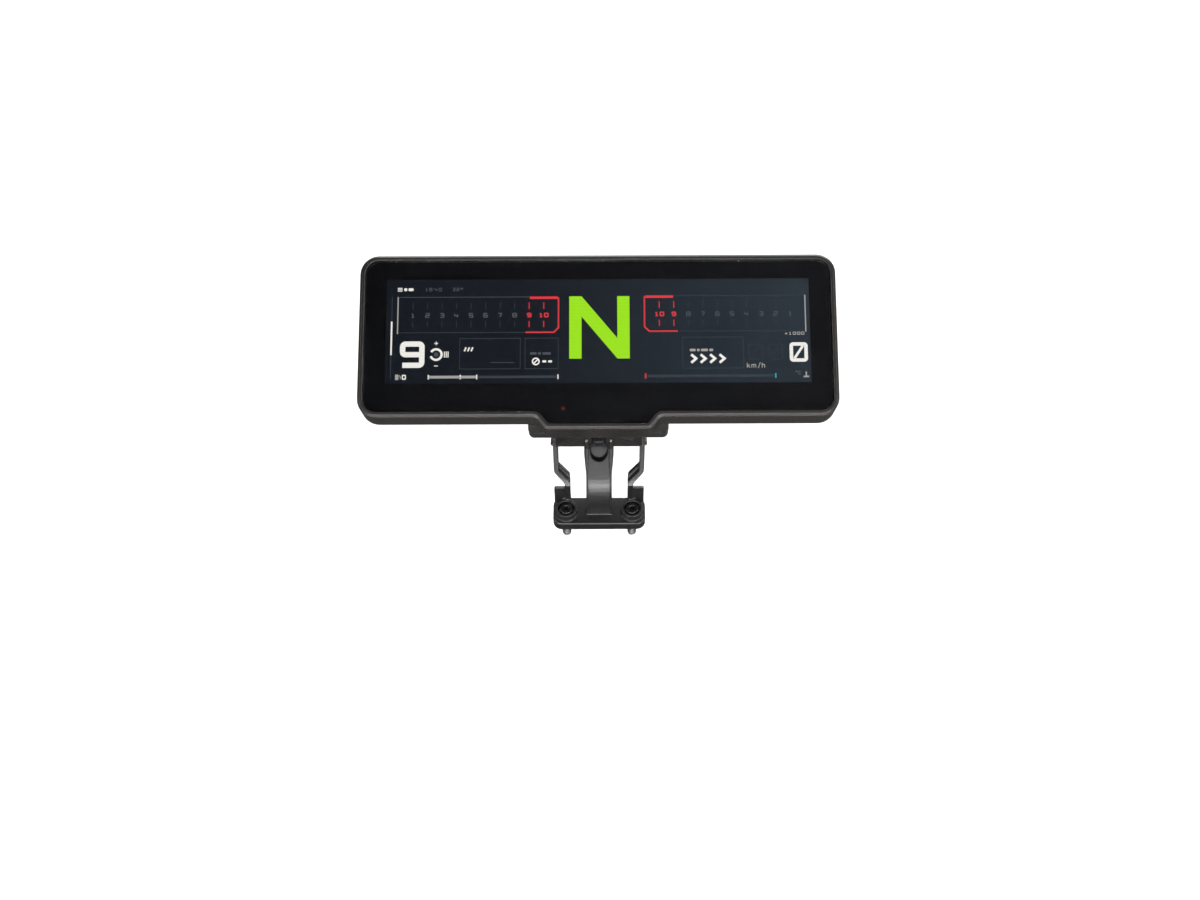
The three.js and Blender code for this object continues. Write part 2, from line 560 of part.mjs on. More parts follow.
function bracketFrame() {
  const across = [-FRONT_DEPTH, FRONT_DEPTH];
  const mirrored = (points) => [...points, ...points.map(([x, z]) => [-x, z, 0]).reverse()];
  const flared = frontView(outline(mirrored([
    [SPINE.topHalf, SHEET.top + BEYOND, 0], [SPINE.topHalf, SPINE.flareHigh, 0],
    [SPINE.half, SPINE.flareLow, 0], [SPINE.half, -BEYOND, 0],
  ])));
  const pocket = cut(
    frontView(outline([
      [-POCKET.half, POCKET.low, POCKET.half - 0.05], [POCKET.half, POCKET.low, POCKET.half - 0.05],
      [POCKET.half, SHEET.top + BEYOND, 0], [-POCKET.half, SHEET.top + BEYOND, 0],
    ]), ARC_STEPS),
    acrossBracket(spineSide(POCKET.floor), ...across),
  );
  const spine = cut(common(flared, acrossBracket(spineSide(SPINE.floor), ...across)), pocket);
  const edgeRibs = [-1, 1].map((side) => {
    const strip = outline([
      [side * SPINE_RIB.outer, SHEET.top + BEYOND, 0], [side * SPINE_RIB.outer, SPINE.flareHigh, 0],
      [side * SPINE.half, SPINE.flareLow, 0], [side * SPINE.half, -BEYOND, 0],
      [side * SPINE_RIB.lowInner, -BEYOND, 0], [side * SPINE_RIB.lowInner, SPINE.flareLow, 0],
      [side * SPINE_RIB.inner, SPINE.flareHigh, 0], [side * SPINE_RIB.inner, SHEET.top + BEYOND, 0],
    ]);
    return common(frontView(strip), acrossBracket(spineSide(SHEET.outer), ...across));
  });
  const sides = [-1, 1].flatMap((side) => {
    const arm = outline([
      [side * ARM.outer, SHEET.top, 0], [side * (ARM.outer - 0.8), ARM.kneeHigh, 3],
      [side * ARM.lowOuter, ARM.kneeLow, 3], [side * ARM.lowOuter, ARM.foot, 0],
      [side * ARM.lowInner, ARM.foot, 0], [side * ARM.lowInner, ARM.kneeLow + 1.4, 0],
      [side * (ARM.inner - 0.5), ARM.kneeHigh + 0.8, 0], [side * ARM.inner, SHEET.top, 0],
    ]);
    const gusset = outline([
      [side * (ARM.inner + 0.3), ARM_WEB.gussetHigh, 0],
      [side * (ARM.lowInner + 0.2), ARM_WEB.gussetLow, 1.5],
      [side * (ARM.lowInner + 0.2), ARM_WEB.gussetFoot, 0], [side * (ARM.inner + 0.3), ARM.kneeHigh - 2, 0],
    ]);
    const [webInner, webOuter] = [ARM.lowOuter - 1, ARM_WEB.outer].map((x) => side * x);
    const outerWeb = outline([
      [webOuter, ARM.foot, 0], [webInner, ARM.foot, 0],
      [webInner, ARM_WEB.top, 0], [webOuter, ARM_WEB.top, 1],
    ]);
    const webSheet = acrossBracket(armSide(SHEET.web), ...across);
    return [
      common(frontView(arm), acrossBracket(armSide(SHEET.outer), ...across)),
      common(frontView(gusset), webSheet),
      common(frontView(outerWeb), webSheet),
    ];
  });
  const { half, low, endHigh, flatHalf } = CROSSBAR;
  const barOutline = outline([
    [-half, low, 0.5], [half, low, 0.5], [half, endHigh, 0.5],
    [flatHalf, SHEET.top, 0], [-flatHalf, SHEET.top, 0], [-half, endHigh, 0.5],
  ]);
  const barSide = armSide(SHEET.outer, SHEET.inner - GAP);
  const crossbar = common(frontView(barOutline), acrossBracket(barSide, ...across));
  return join(spine, ...edgeRibs, ...sides, crossbar);
}

// The foot lies square to the steering axis, in a frame of its own.
function bracketFoot() {
  const plate = slab(rectangle(-FOOT.half, FOOT.back, FOOT.half, FOOT.front, 5), 0, FOOT.thick, 0.6);
  const bosses = [-1, 1].map((side) => rod(BOSS.radius, 1, BOSS.height, side * FOOT.screwX, 0, 24));
  return geometryOf(join(plate, ...bosses)).rotateX(STEERING_RAKE);
}

// The screw holes, each sunk so that the head lies inside its boss.
const baseHoles = () => [-1, 1].flatMap((side) => [
  rod(BASE_SCREW.shank + 0.3, -1, BOSS.height, side * FOOT.screwX, 0, 20),
  rod(BOSS.sinkRadius, BOSS.seat, BOSS.height + THROUGH, side * FOOT.screwX, 0, 24),
]).map((hole) => hole.rotateX(STEERING_RAKE));

// The neck reaches from the crossbar to the hinge, in the display's frame.
function bracketNeck() {
  const side = outline([
    [-45.2, HINGE.w + 3, 0], [-45.2, -76.5, 1], [-37.5, -83, 1],
    [-30.8, -79, 2], [-31.5, -60, 0], [-30.8, HINGE.w + 3, 0],
  ]);
  const plan = outline([
    [-24, -90, 0], [-24, -74, 2], [-20, -65, 4],
    [-HINGE.barrelHalf, -54, 3], [-HINGE.barrelHalf, HINGE.w, 0],
    [HINGE.barrelHalf, HINGE.w, 0], [HINGE.barrelHalf, -54, 3],
    [20, -65, 4], [24, -74, 2], [24, -90, 0],
  ].map(([u, w, radius]) => [u, -w, radius]));
  const planSolid = slab(plan, -FRONT_DEPTH, FRONT_DEPTH).rotateX(-Math.PI / 2);
  const ribSide = outline([[-47.2, -58, 1], [-47.2, -74, 1], [-44, -79, 0], [-44, -56, 0]]);
  const ribs = [-1, 1].map((hand) => acrossDisplay(ribSide, hand * SPINE_RIB.inner, hand * SPINE_RIB.outer));
  const pocketSide = outline([[-38, -65, 1], [-38, -75, 1], [-28, -77, 0], [-28, -64, 0]]);
  const pocket = acrossDisplay(pocketSide, -13, 13);
  const body = join(
    common(acrossDisplay(side, -FRONT_DEPTH, FRONT_DEPTH), planSolid),
    pinRod(HINGE.barrel, -HINGE.barrelHalf, HINGE.barrelHalf, 28),
    ...ribs,
  );
  const neck = cut(
    body,
    pinRod(HINGE.bore, -20, 20, 40),
    box(-20, 20, HINGE.v - 0.6, HINGE.v + 0.6, -58, HINGE.w),
    alongX(rod(1.3, -20, 20, HINGE.v, -58, 12)),
    rod(CLAMP.shank + 0.25, -50, -28, 0, 0, 16).rotateX(-Math.PI / 2).translate(0, 0, CLAMP.w),
    pocket,
  );
  return geometryOf(neck).rotateX(SCREEN_LEAN).translate(...SCREEN_CENTRE);
}

const bracket = cut(join(bracketFrame(), bracketFoot(), bracketNeck()), ...baseHoles());
piece(group, "mounting_bracket", bracket, "castBlack");

const clampScrew = piece(
  display,
  "clamp_screw",
  geometryOf(screw({ ...CLAMP, socket: 2, sides: 16 })).rotateX(Math.PI / 2),
  "blackSteel",
);
clampScrew.position.set(0, -45.5, CLAMP.w);

["left", "right"].forEach((hand, i) => {
  const side = 2 * i - 1;
  const ring = cut(pinRod(7.2, side * 10.2, side * 11, 28), pinRod(HINGE.pin + 0.3, -20, 20, 24));
  piece(display, "friction_washer_" + hand, ring, "bronze");
});

const base = new THREE.Group();
base.rotation.x = STEERING_RAKE;
group.add(base);
["left", "right"].forEach((hand, i) => {
  const x = (2 * i - 1) * FOOT.screwX;
  const low = BOSS.seat + GAP;
  const ring = washer(2.9, BOSS.sinkRadius - GAP, low, low + 0.9, 24);
  piece(base, "base_washer_" + hand, ring, "zincSteel").position.x = x;
  const bolt = screw({ ...BASE_SCREW, sides: 16 });
  piece(base, "base_screw_" + hand, bolt, "blackSteel").position.set(x, 0, low + 1.1);
});

export default group;
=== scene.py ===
"""Looks of a motorcycle instrument cluster: smooth shells, casting, fasteners, screen image and finishes.

Shapes are modelled in millimetres in one of three spaces and placed in metres: WORLD is the row frame,
BASE is square to the steering axis, and DISPLAY has u to the right, v up the screen and w out of the glass.
"""
import json
import math

import bmesh
import bpy
from mathutils import Matrix, Vector


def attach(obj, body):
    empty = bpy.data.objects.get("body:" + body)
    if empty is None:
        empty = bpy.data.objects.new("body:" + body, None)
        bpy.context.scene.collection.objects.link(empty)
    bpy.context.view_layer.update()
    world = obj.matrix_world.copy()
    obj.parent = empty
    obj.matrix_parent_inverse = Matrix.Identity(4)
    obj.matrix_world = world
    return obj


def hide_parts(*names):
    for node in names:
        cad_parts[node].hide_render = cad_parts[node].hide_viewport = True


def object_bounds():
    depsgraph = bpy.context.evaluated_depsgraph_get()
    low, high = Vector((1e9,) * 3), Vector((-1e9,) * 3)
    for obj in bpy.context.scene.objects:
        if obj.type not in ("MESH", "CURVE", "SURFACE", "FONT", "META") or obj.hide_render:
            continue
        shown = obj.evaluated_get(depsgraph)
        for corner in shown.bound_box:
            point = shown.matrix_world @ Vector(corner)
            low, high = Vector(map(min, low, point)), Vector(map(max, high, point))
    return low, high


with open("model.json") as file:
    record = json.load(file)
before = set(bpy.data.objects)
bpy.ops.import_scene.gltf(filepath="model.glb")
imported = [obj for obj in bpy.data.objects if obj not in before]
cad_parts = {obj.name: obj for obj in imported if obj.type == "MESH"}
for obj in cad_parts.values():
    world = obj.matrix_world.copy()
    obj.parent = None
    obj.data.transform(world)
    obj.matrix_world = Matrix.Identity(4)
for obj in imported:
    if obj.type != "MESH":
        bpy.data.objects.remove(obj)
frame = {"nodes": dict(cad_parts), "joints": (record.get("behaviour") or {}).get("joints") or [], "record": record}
cad_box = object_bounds()

MM = 0.001
RECORD = frame["record"]
NODE_SLOT = {sub["node"]: sub["material_slot"] for sub in RECORD["subparts"]}
NODE_BODY = {n: body for body, nodes in RECORD["behaviour"]["bodies"].items() for n in nodes}

# ---- spaces and driving sizes -------------------------------------------------------------------
HINGE_V, HINGE_W = -38.0, -42.0
SCREEN_LEAN = math.radians(49)
hinge_at = Vector(frame["joints"][0]["pos_m"]) / MM
base_axis = RECORD["mounts"][0]["axis"]

WORLD = Matrix.Identity(4)
BASE = Matrix.Rotation(math.atan2(base_axis[1], -base_axis[2]), 4, "X")
DISPLAY = (
    Matrix.Translation(hinge_at)
    @ Matrix.Rotation(SCREEN_LEAN, 4, "X")
    @ Matrix.Translation((0, -HINGE_V, -HINGE_W))
)
BACKWARD = DISPLAY @ Matrix.Rotation(math.pi, 4, "X")
DOWNWARD = DISPLAY @ Matrix.Rotation(math.pi / 2, 4, "X")
LEFTWARD = DISPLAY @ Matrix.Rotation(-math.pi / 2, 4, "Y")
RIGHTWARD = DISPLAY @ Matrix.Rotation(math.pi / 2, 4, "Y")


def metric(space):
    """A space's matrix with its place in metres."""
    matrix = space.copy()
    matrix.translation = matrix.translation * MM
    return matrix


def extent(node, space):
    """Lowest and highest corner of a CAD node in one of the spaces, in millimetres."""
    inverse = metric(space).inverted()
    points = [(inverse @ vertex.co) / MM for vertex in frame["nodes"][node].data.vertices]
    return Vector(map(min, zip(*points))), Vector(map(max, zip(*points)))


bezel_low, bezel_high = extent("front_bezel", DISPLAY)
FACE_HALF, FACE_TOP = bezel_high.x, bezel_high.y
FACE_BOTTOM, FACE_CORNER = -46.3, 10
CHIN_BOTTOM, CHIN_SHOULDER, CHIN_TOE = bezel_low.y, 32.2, 26.8
CHIN_SLOPE = math.atan2(FACE_BOTTOM - CHIN_BOTTOM, CHIN_SHOULDER - CHIN_TOE)
RIM_PROUD, RIM_CHAMFER, RIM_WIDTH = bezel_high.z, 1.3, 3
BEZEL_BACK, BEZEL_WALL = bezel_low.z, 2.6
LEDGE_FRONT, LEDGE_BACK = -3, -4.6


# ---- shapes -------------------------------------------------------------------------------------
def outline(corners, steps=None):
    """Points round a closed shape of straight runs and tangent arcs; each corner is (x, y, radius)."""
    points = []
    for i, (x, y, radius) in enumerate(corners):
        corner = Vector((x, y))
        if radius <= 0:
            points.append(corner)
            continue
        before = (Vector(corners[i - 1][:2]) - corner).normalized()
        after = (Vector(corners[(i + 1) % len(corners)][:2]) - corner).normalized()
        half = before.angle(after) / 2
        centre = corner + (before + after).normalized() * (radius / math.sin(half))
        start = corner + before * (radius / math.tan(half)) - centre
        turn = math.copysign(math.pi - 2 * half, -before.cross(after))
        count = steps or max(2, math.ceil(abs(math.degrees(turn)) / 8))
        for k in range(count + 1):
            points.append(centre + Matrix.Rotation(turn * k / count, 2) @ start)
    return points


def rectangle(x0, y0, x1, y1, radius=0):
    return outline([(x0, y0, radius), (x1, y0, radius), (x1, y1, radius), (x0, y1, radius)])


def face_ring(inset, steps=10):
    """The display's front outline, moved inwards, always with the same number of points."""
    side = FACE_HALF - inset
    shift = inset * math.tan(CHIN_SLOPE / 2)
    half = [
        (side, FACE_TOP - inset, FACE_CORNER - inset),
        (-side, FACE_TOP - inset, FACE_CORNER - inset),
        (-side, FACE_BOTTOM + inset, FACE_CORNER - inset),
        (-CHIN_SHOULDER + shift, FACE_BOTTOM + inset, 4 + inset / 2),
        (-CHIN_TOE + shift, CHIN_BOTTOM + inset, max(3 - inset, 0.6)),
    ]
    mirrored = [(-x, y, r) for x, y, r in reversed(half[2:])]
    return outline(half + mirrored, steps)


def skinned(levels, closed=False):
    """A solid skinned through rings of equal length, each (points, height)."""
    bm = bmesh.new()
    rings = [[bm.verts.new((p[0], p[1], height)) for p in points] for points, height in levels]
    count = len(rings[0])
    pairs = list(zip(rings, rings[1:]))
    if closed:
        pairs.append((rings[-1], rings[0]))
    else:
        bm.faces.new(reversed(rings[0]))
        bm.faces.new(rings[-1])
    for low, high in pairs:
        for i in range(count):
            j = (i + 1) % count
            bm.faces.new((low[i], low[j], high[j], high[i]))
    bmesh.ops.recalc_face_normals(bm, faces=bm.faces)
    return bm


def prism(points, low, high):
    return skinned([(points, low), (points, high)])


def box(x0, x1, y0, y1, z0, z1, radius=0):
    return prism(rectangle(x0, y0, x1, y1, radius), z0, z1)


def centred(half_x, half_y, radius=0):
    """A rectangle round the origin."""
    return rectangle(-half_x, -half_y, half_x, half_y, radius)


def circle(radius, sides, x=0, y=0):
    turn = math.tau / sides
    return [(x + radius * math.cos(i * turn), y + radius * math.sin(i * turn)) for i in range(sides)]


def rod(radius, low, high, x=0, y=0, sides=48):
    return prism(circle(radius, sides, x, y), low, high)


def turned(profile, sides=64):
    """A solid turned about Z from (radius, height) points; it closes on itself if it misses the axis."""
    bm = bmesh.new()
    on_axis = profile[0][0] == 0
    rings = []
    for radius, height in profile:
        points = [(0, 0)] if radius == 0 else circle(radius, sides)
        rings.append([bm.verts.new((x, y, height)) for x, y in points])
    pairs = list(zip(rings, rings[1:])) + ([] if on_axis else [(rings[-1], rings[0])])
    for low, high in pairs:
        for i in range(sides):
            j = (i + 1) % sides
            around = [low[i % len(low)], low[j % len(low)], high[j % len(high)], high[i % len(high)]]
            corners = list(dict.fromkeys(around))
            if len(corners) > 2:
                bm.faces.new(corners)
    bmesh.ops.recalc_face_normals(bm, faces=bm.faces)
    return bm


def moved(bm, matrix):
    bm.transform(matrix)
    return bm


def merged(*parts):
    """Several solids in one mesh, each keeping its own closed surface."""
    whole = bmesh.new()
    for bm in parts:
        mesh = bpy.data.meshes.new("part")
        bm.to_mesh(mesh)
        whole.from_mesh(mesh)
        bm.free()
        bpy.data.meshes.remove(mesh)
    return whole


def scratch_object(bm):
    mesh = bpy.data.meshes.new("scratch")
    bm.to_mesh(mesh)
    bm.free()
    obj = bpy.data.objects.new("scratch", mesh)
    bpy.context.scene.collection.objects.link(obj)
    return obj


def evaluated(obj):
    """The object's mesh with its modifiers applied."""
    graph = bpy.context.evaluated_depsgraph_get()
    return bpy.data.meshes.new_from_object(obj.evaluated_get(graph))


def combined(operation, first, others):
    """Joins, cuts or intersects solids."""
    base = scratch_object(first)
    tools = [scratch_object(bm) for bm in others]
    for tool in tools:
        modifier = base.modifiers.new("combine", "BOOLEAN")
        modifier.operation = operation
        modifier.solver = "EXACT"
        modifier.object = tool
    mesh = evaluated(base)
    bm = bmesh.new()
    bm.from_mesh(mesh)
    for obj in [base, *tools]:
        bpy.data.objects.remove(obj)
    bpy.data.meshes.remove(mesh)
    bmesh.ops.remove_doubles(bm, verts=bm.verts, dist=0.002)
    flat = math.radians(0.3)
    bmesh.ops.dissolve_limit(bm, angle_limit=flat, verts=bm.verts, edges=bm.edges)
    return bm


def join(first, *others):
    return combined("UNION", first, others)


def cut(first, *others):
    return combined("DIFFERENCE", first, others)


def common(first, second):
    return combined("INTERSECT", first, [second])


# ---- finishes -----------------------------------------------------------------------------------
def linear(red, green, blue):
    """An 8-bit display colour as linear values."""
    values = [c / 255 for c in (red, green, blue)]
    return [c / 12.92 if c <= 0.04045 else ((c + 0.055) / 1.055) ** 2.4 for c in values] + [1]


def even(value):
    """A neutral linear colour."""
    return [value, value, value, 1]


def node_tree(name):
    material = bpy.data.materials.new(name)
    material.use_nodes = True
    tree = material.node_tree
    shader = tree.nodes["Principled BSDF"]
    place = tree.nodes.new("ShaderNodeTexCoord")
    return material, tree, shader, place.outputs["Object"]


def noise(tree, coordinates, size_mm, detail=3):
    """Noise whose features are about size_mm across, from 0 to 1."""
    node = tree.nodes.new("ShaderNodeTexNoise")
    node.inputs["Scale"].default_value = 1 / (size_mm * MM)
    node.inputs["Detail"].default_value = detail
    tree.links.new(coordinates, node.inputs["Vector"])
    return node.outputs["Fac"]


def span(tree, value, low, high, from_low=0.3, from_high=0.7):
    """A value mapped to a range."""
    node = tree.nodes.new("ShaderNodeMapRange")
    limits = {"From Min": from_low, "From Max": from_high, "To Min": low, "To Max": high}
    for socket, number in limits.items():
        node.inputs[socket].default_value = number
    tree.links.new(value, node.inputs["Value"])
    return node.outputs["Result"]


MIX_FIRST, MIX_SECOND, MIX_RESULT = 6, 7, 2  # a Mix node's colour sockets


def mixed(tree, factor, first, second):
    """A colour between two colours, each a list or a socket."""
    node = tree.nodes.new("ShaderNodeMix")
    node.data_type = "RGBA"
    tree.links.new(factor, node.inputs["Factor"])
    for socket, colour in ((node.inputs[MIX_FIRST], first), (node.inputs[MIX_SECOND], second)):
        if isinstance(colour, (list, tuple)):
            socket.default_value = colour
        else:
            tree.links.new(colour, socket)
    return node.outputs[MIX_RESULT]


RUBBED_AND_HIGHLIT_COSINE, FLAT_COSINE = 0.82, 0.985  # between the rounded and the true normal


def edge_mask(tree, radius_mm):
    """1 on outer edges, which are lightened where worn and as a painted highlight line; 0 on flat faces."""
    bevel = tree.nodes.new("ShaderNodeBevel")
    bevel.samples = 4
    bevel.inputs["Radius"].default_value = radius_mm * MM
    geometry = tree.nodes.new("ShaderNodeNewGeometry")
    dot = tree.nodes.new("ShaderNodeVectorMath")
    dot.operation = "DOT_PRODUCT"
    tree.links.new(bevel.outputs["Normal"], dot.inputs[0])
    tree.links.new(geometry.outputs["Normal"], dot.inputs[1])
    return span(tree, dot.outputs["Value"], 1, 0, RUBBED_AND_HIGHLIT_COSINE, FLAT_COSINE)


WEAR_AND_HIGHLIGHT_PATCH, GLOSS_SPREAD = 3, 0.06


def surface(name, colour, roughness, metallic=0.0, grain_mm=0.3, grain=0.15, blotch_mm=8, vary=0.12,
            wear_and_highlight=None, specular=0.5):
    """A finish with slow changes of tone, uneven gloss and a fine grain; its edges are lightened where worn and as
    a painted highlight.
    """
    material, tree, shader, at = node_tree(name)
    slow = noise(tree, at, blotch_mm, 4)
    fine = noise(tree, at, grain_mm, 2)
    dark = [c * (1 - vary) for c in colour[:3]] + [1]
    light = [min(1, c * (1 + vary)) for c in colour[:3]] + [1]
    tone = mixed(tree, span(tree, slow, 0, 1), dark, light)
    if wear_and_highlight:
        rubbed_and_highlit = tree.nodes.new("ShaderNodeMath")
        rubbed_and_highlit.operation = "MULTIPLY"
        tree.links.new(edge_mask(tree, wear_and_highlight["radius"]), rubbed_and_highlit.inputs[0])
        patches = span(tree, noise(tree, at, WEAR_AND_HIGHLIGHT_PATCH, 5), 0.35, 1, 0.4, 0.62)
        tree.links.new(patches, rubbed_and_highlit.inputs[1])
        # Edges take a lighter colour where worn and as a painted highlight line.
        tone = mixed(tree, rubbed_and_highlit.outputs["Value"], tone, wear_and_highlight["colour"])
    tree.links.new(tone, shader.inputs["Base Color"])
    gloss = span(tree, fine, max(roughness - GLOSS_SPREAD, 0.02), min(roughness + GLOSS_SPREAD, 1))
    tree.links.new(gloss, shader.inputs["Roughness"])
    shader.inputs["Metallic"].default_value = metallic
    shader.inputs["Specular IOR Level"].default_value = specular
    bump = tree.nodes.new("ShaderNodeBump")
    bump.inputs["Strength"].default_value = grain
    bump.inputs["Distance"].default_value = grain_mm * MM * 0.5
    tree.links.new(fine, bump.inputs["Height"])
    tree.links.new(bump.outputs["Normal"], shader.inputs["Normal"])
    return material


BAND_RADIAN = 0.3
WAVE_RATE = 20  # radians of a Wave node's bands per unit at scale 1


def lit(tree, shader, colour):
    """Makes a surface shine by itself and mirror nothing."""
    tree.links.new(colour, shader.inputs["Emission Color"])
    shader.inputs["Emission Strength"].default_value = 1
    shader.inputs["Base Color"].default_value = (0.003, 0.003, 0.004, 1)
    shader.inputs["Roughness"].default_value = 0.6
    shader.inputs["Specular IOR Level"].default_value = 0


def glowing(name, colour, weave=0.06):
    """A lit part of the screen image, with faint bands that repeat every tau times BAND_RADIAN mm."""
    material, tree, shader, at = node_tree(name)
    rows = tree.nodes.new("ShaderNodeTexWave")
    rows.bands_direction = "Y"
    rows.inputs["Scale"].default_value = 1 / (BAND_RADIAN * MM) / WAVE_RATE
    tree.links.new(at, rows.inputs["Vector"])
    dim = [c * (1 - weave) for c in colour[:3]] + [1]
    lit(tree, shader, mixed(tree, rows.outputs["Fac"], dim, colour))
    return material


def glass():
    """Clear glass with a low index, so that its mirror of the room stays weak."""
    material, tree, shader, at = node_tree("cover_glass")
    tree.links.new(span(tree, noise(tree, at, 40, 4), 0.012, 0.03), shader.inputs["Roughness"])
    shader.inputs["Base Color"].default_value = (0.97, 0.98, 1, 1)
    shader.inputs["Transmission Weight"].default_value = 1
    shader.inputs["IOR"].default_value = 1.24
    return material


def dark_screen():
    """The panel's dark blue-grey, lighter to the right as a painted reflection, with slow cloudy changes."""
    material, tree, shader, at = node_tree("polariser")
    split = tree.nodes.new("ShaderNodeSeparateXYZ")
    tree.links.new(at, split.inputs["Vector"])
    # Painted reflection: the screen's colour lightens towards the right.
    across = span(tree, split.outputs["X"], 0, 1, -0.04, 0.11)
    tone = mixed(tree, across, linear(19, 24, 30), linear(42, 51, 59))
    cloudy = mixed(tree, span(tree, noise(tree, at, 30, 3), 0, 0.25), tone, linear(16, 20, 26))
    lit(tree, shader, cloudy)
    return material


# Lighter edge colours: partly wear, partly a painted highlight along the edges.
WORN_AND_HIGHLIT = {"radius": 0.5, "colour": linear(112, 109, 104)}
POLISHED_AND_HIGHLIT = {"radius": 0.4, "colour": linear(96, 95, 93)}
LOOKS = {
    "bezel_paint": surface("bezel_paint", linear(27, 25, 23), 0.3, 0, 0.25, 0.12, 12, 0.10, WORN_AND_HIGHLIT),
    "cast_black": surface("cast_black", linear(25, 24, 24), 0.34, 0, 0.5, 0.22, 9, 0.18, POLISHED_AND_HIGHLIT),
    "black_ink": surface("black_ink", linear(7, 7, 11), 0.5, 0, 0.4, 0.02, 60, 0.1, specular=0.05),
    "clear_plastic": surface("clear_plastic", linear(226, 232, 236), 0.15, 0, 1.2, 0.04, 30, 0.03),
    "white_film": surface("white_film", linear(236, 236, 232), 0.55, 0, 0.2, 0.1, 25, 0.03),
    "sheet_steel": surface("sheet_steel", linear(176, 179, 181), 0.32, 1, 0.35, 0.08, 18, 0.1),
    "diecast": surface("diecast", linear(150, 152, 154), 0.48, 0.9, 0.5, 0.25, 7, 0.14),
    "circuit_board": surface("circuit_board", linear(18, 84, 50), 0.42, 0, 0.9, 0.12, 3, 0.25),
    "copper_film": surface("copper_film", linear(176, 112, 44), 0.4, 0.2, 0.5, 0.06, 4, 0.2),
    "chip": surface("chip", linear(26, 27, 29), 0.52, 0, 0.15, 0.15, 4, 0.1),
    "thermal_pad": surface("thermal_pad", linear(143, 163, 181), 0.8, 0, 0.3, 0.2, 5, 0.08),
    "ferrite": surface("ferrite", linear(62, 63, 66), 0.62, 0.1, 0.25, 0.3, 4, 0.15),
    "capacitor_can": surface("capacitor_can", linear(190, 194, 198), 0.28, 1, 0.4, 0.05, 6, 0.06),
    "led_white": surface("led_white", linear(246, 242, 220), 0.4, 0, 0.4, 0.05, 6, 0.06),
    "sensor_window": surface("sensor_window", linear(120, 42, 26), 0.18, 0, 0.3, 0.03, 1, 0.2),
    "rubber": surface("rubber", linear(20, 20, 20), 0.8, 0, 0.35, 0.25, 5, 0.2, specular=0.25),
    "black_plastic": surface("black_plastic", linear(30, 30, 31), 0.52, 0, 0.3, 0.2, 6, 0.12),
    "contact_pin": surface("contact_pin", linear(214, 178, 92), 0.24, 1, 0.4, 0.04, 3, 0.1),
    "vent_membrane": surface("vent_membrane", linear(206, 206, 202), 0.75, 0, 0.18, 0.4, 3, 0.06),
    "black_steel": surface("black_steel", linear(44, 44, 46), 0.32, 0.85, 0.3, 0.1, 3, 0.2, POLISHED_AND_HIGHLIT),
    "zinc_steel": surface("zinc_steel", linear(178, 180, 182), 0.3, 1, 0.3, 0.06, 4, 0.1),
    "bronze": surface("bronze", linear(176, 138, 84), 0.35, 1, 0.3, 0.15, 3, 0.15),
    "cover_glass": glass(),
    "polariser": dark_screen(),
}

for node, slot in NODE_SLOT.items():
    for material_slot in frame["nodes"][node].material_slots:
        material_slot.material = LOOKS[slot]


# ---- pieces -------------------------------------------------------------------------------------
def rounded(obj, width_mm, segments=3, angle=28):
    """Rounds the object's edges and evens its shading, then keeps the result as its mesh."""
    if width_mm:
        bevel = obj.modifiers.new("round", "BEVEL")
        bevel.width = width_mm * MM
        bevel.segments = segments
        bevel.limit_method = "ANGLE"
        bevel.angle_limit = math.radians(angle)
        bevel.use_clamp_overlap = True
        bevel.miter_outer = "MITER_ARC"
    normals = obj.modifiers.new("shade", "WEIGHTED_NORMAL")
    normals.keep_sharp = True
    old = obj.data
    obj.data = evaluated(obj)
    obj.modifiers.clear()
    bpy.data.meshes.remove(old)


def piece(name, bm, space, nodes, slot=None, rounding=0.0, sharp=40, body=None):
    """Adds a solid to the scene in place of the CAD nodes it stands for."""
    nodes = [nodes] if isinstance(nodes, str) else nodes
    slot = slot or NODE_SLOT[nodes[0]]
    bmesh.ops.recalc_face_normals(bm, faces=bm.faces)
    bm.transform(Matrix.Scale(MM, 4))
    mesh = bpy.data.meshes.new(name)
    bm.to_mesh(mesh)
    bm.free()
    mesh.shade_smooth()
    mesh.set_sharp_from_angle(angle=math.radians(sharp))
    obj = bpy.data.objects.new(name, mesh)
    bpy.context.scene.collection.objects.link(obj)
    if rounding:
        mesh.shade_smooth()
    rounded(obj, rounding)
    obj.data.name = name
    obj.data.materials.clear()
    obj.data.materials.append(LOOKS[slot])
    return placed(obj, space, nodes, body)


def placed(obj, space, nodes, body=None):
    """Puts an object in its space, on its body, for its nodes."""
    obj.matrix_world = metric(space)
    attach(obj, body or NODE_BODY[nodes[0]])
    if nodes:
        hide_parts(*nodes)
    return obj


def again(source, name, space, node):
    """Another piece of the same shape in a new place."""
    obj = bpy.data.objects.new(name, source.data)
    bpy.context.scene.collection.objects.link(obj)
    return placed(obj, space, [node])


# ---- bezel and glass ----------------------------------------------------------------------------
HOUSING_SCREWS = [f"housing_screw_{i + 1}" for i in range(8)]
CARRIER_SCREWS = [f"carrier_screw_{i + 1}" for i in range(4)]
BOARD_SCREWS = [f"board_screw_{i + 1}" for i in range(4)]
POST_RADIUS, POST_HOLE, POST_BACK = 2.5, 1.55, -12.6
WINDOW_HALF, WINDOW_BOTTOM, WINDOW_TOP = 113.8, -35.7, 31.1
SENSOR_AT, SENSOR_HOLE = (-18, -41.4), 2.2
GLASS_INSET, GLASS_BACK = 3.0, -1.8


def across_display(nodes):
    """The middle of each CAD node, in u and v."""
    corners = [extent(node, DISPLAY) for node in nodes]
    return [((low.x + high.x) / 2, (low.y + high.y) / 2) for low, high in corners]


POSTS = across_display(HOUSING_SCREWS)


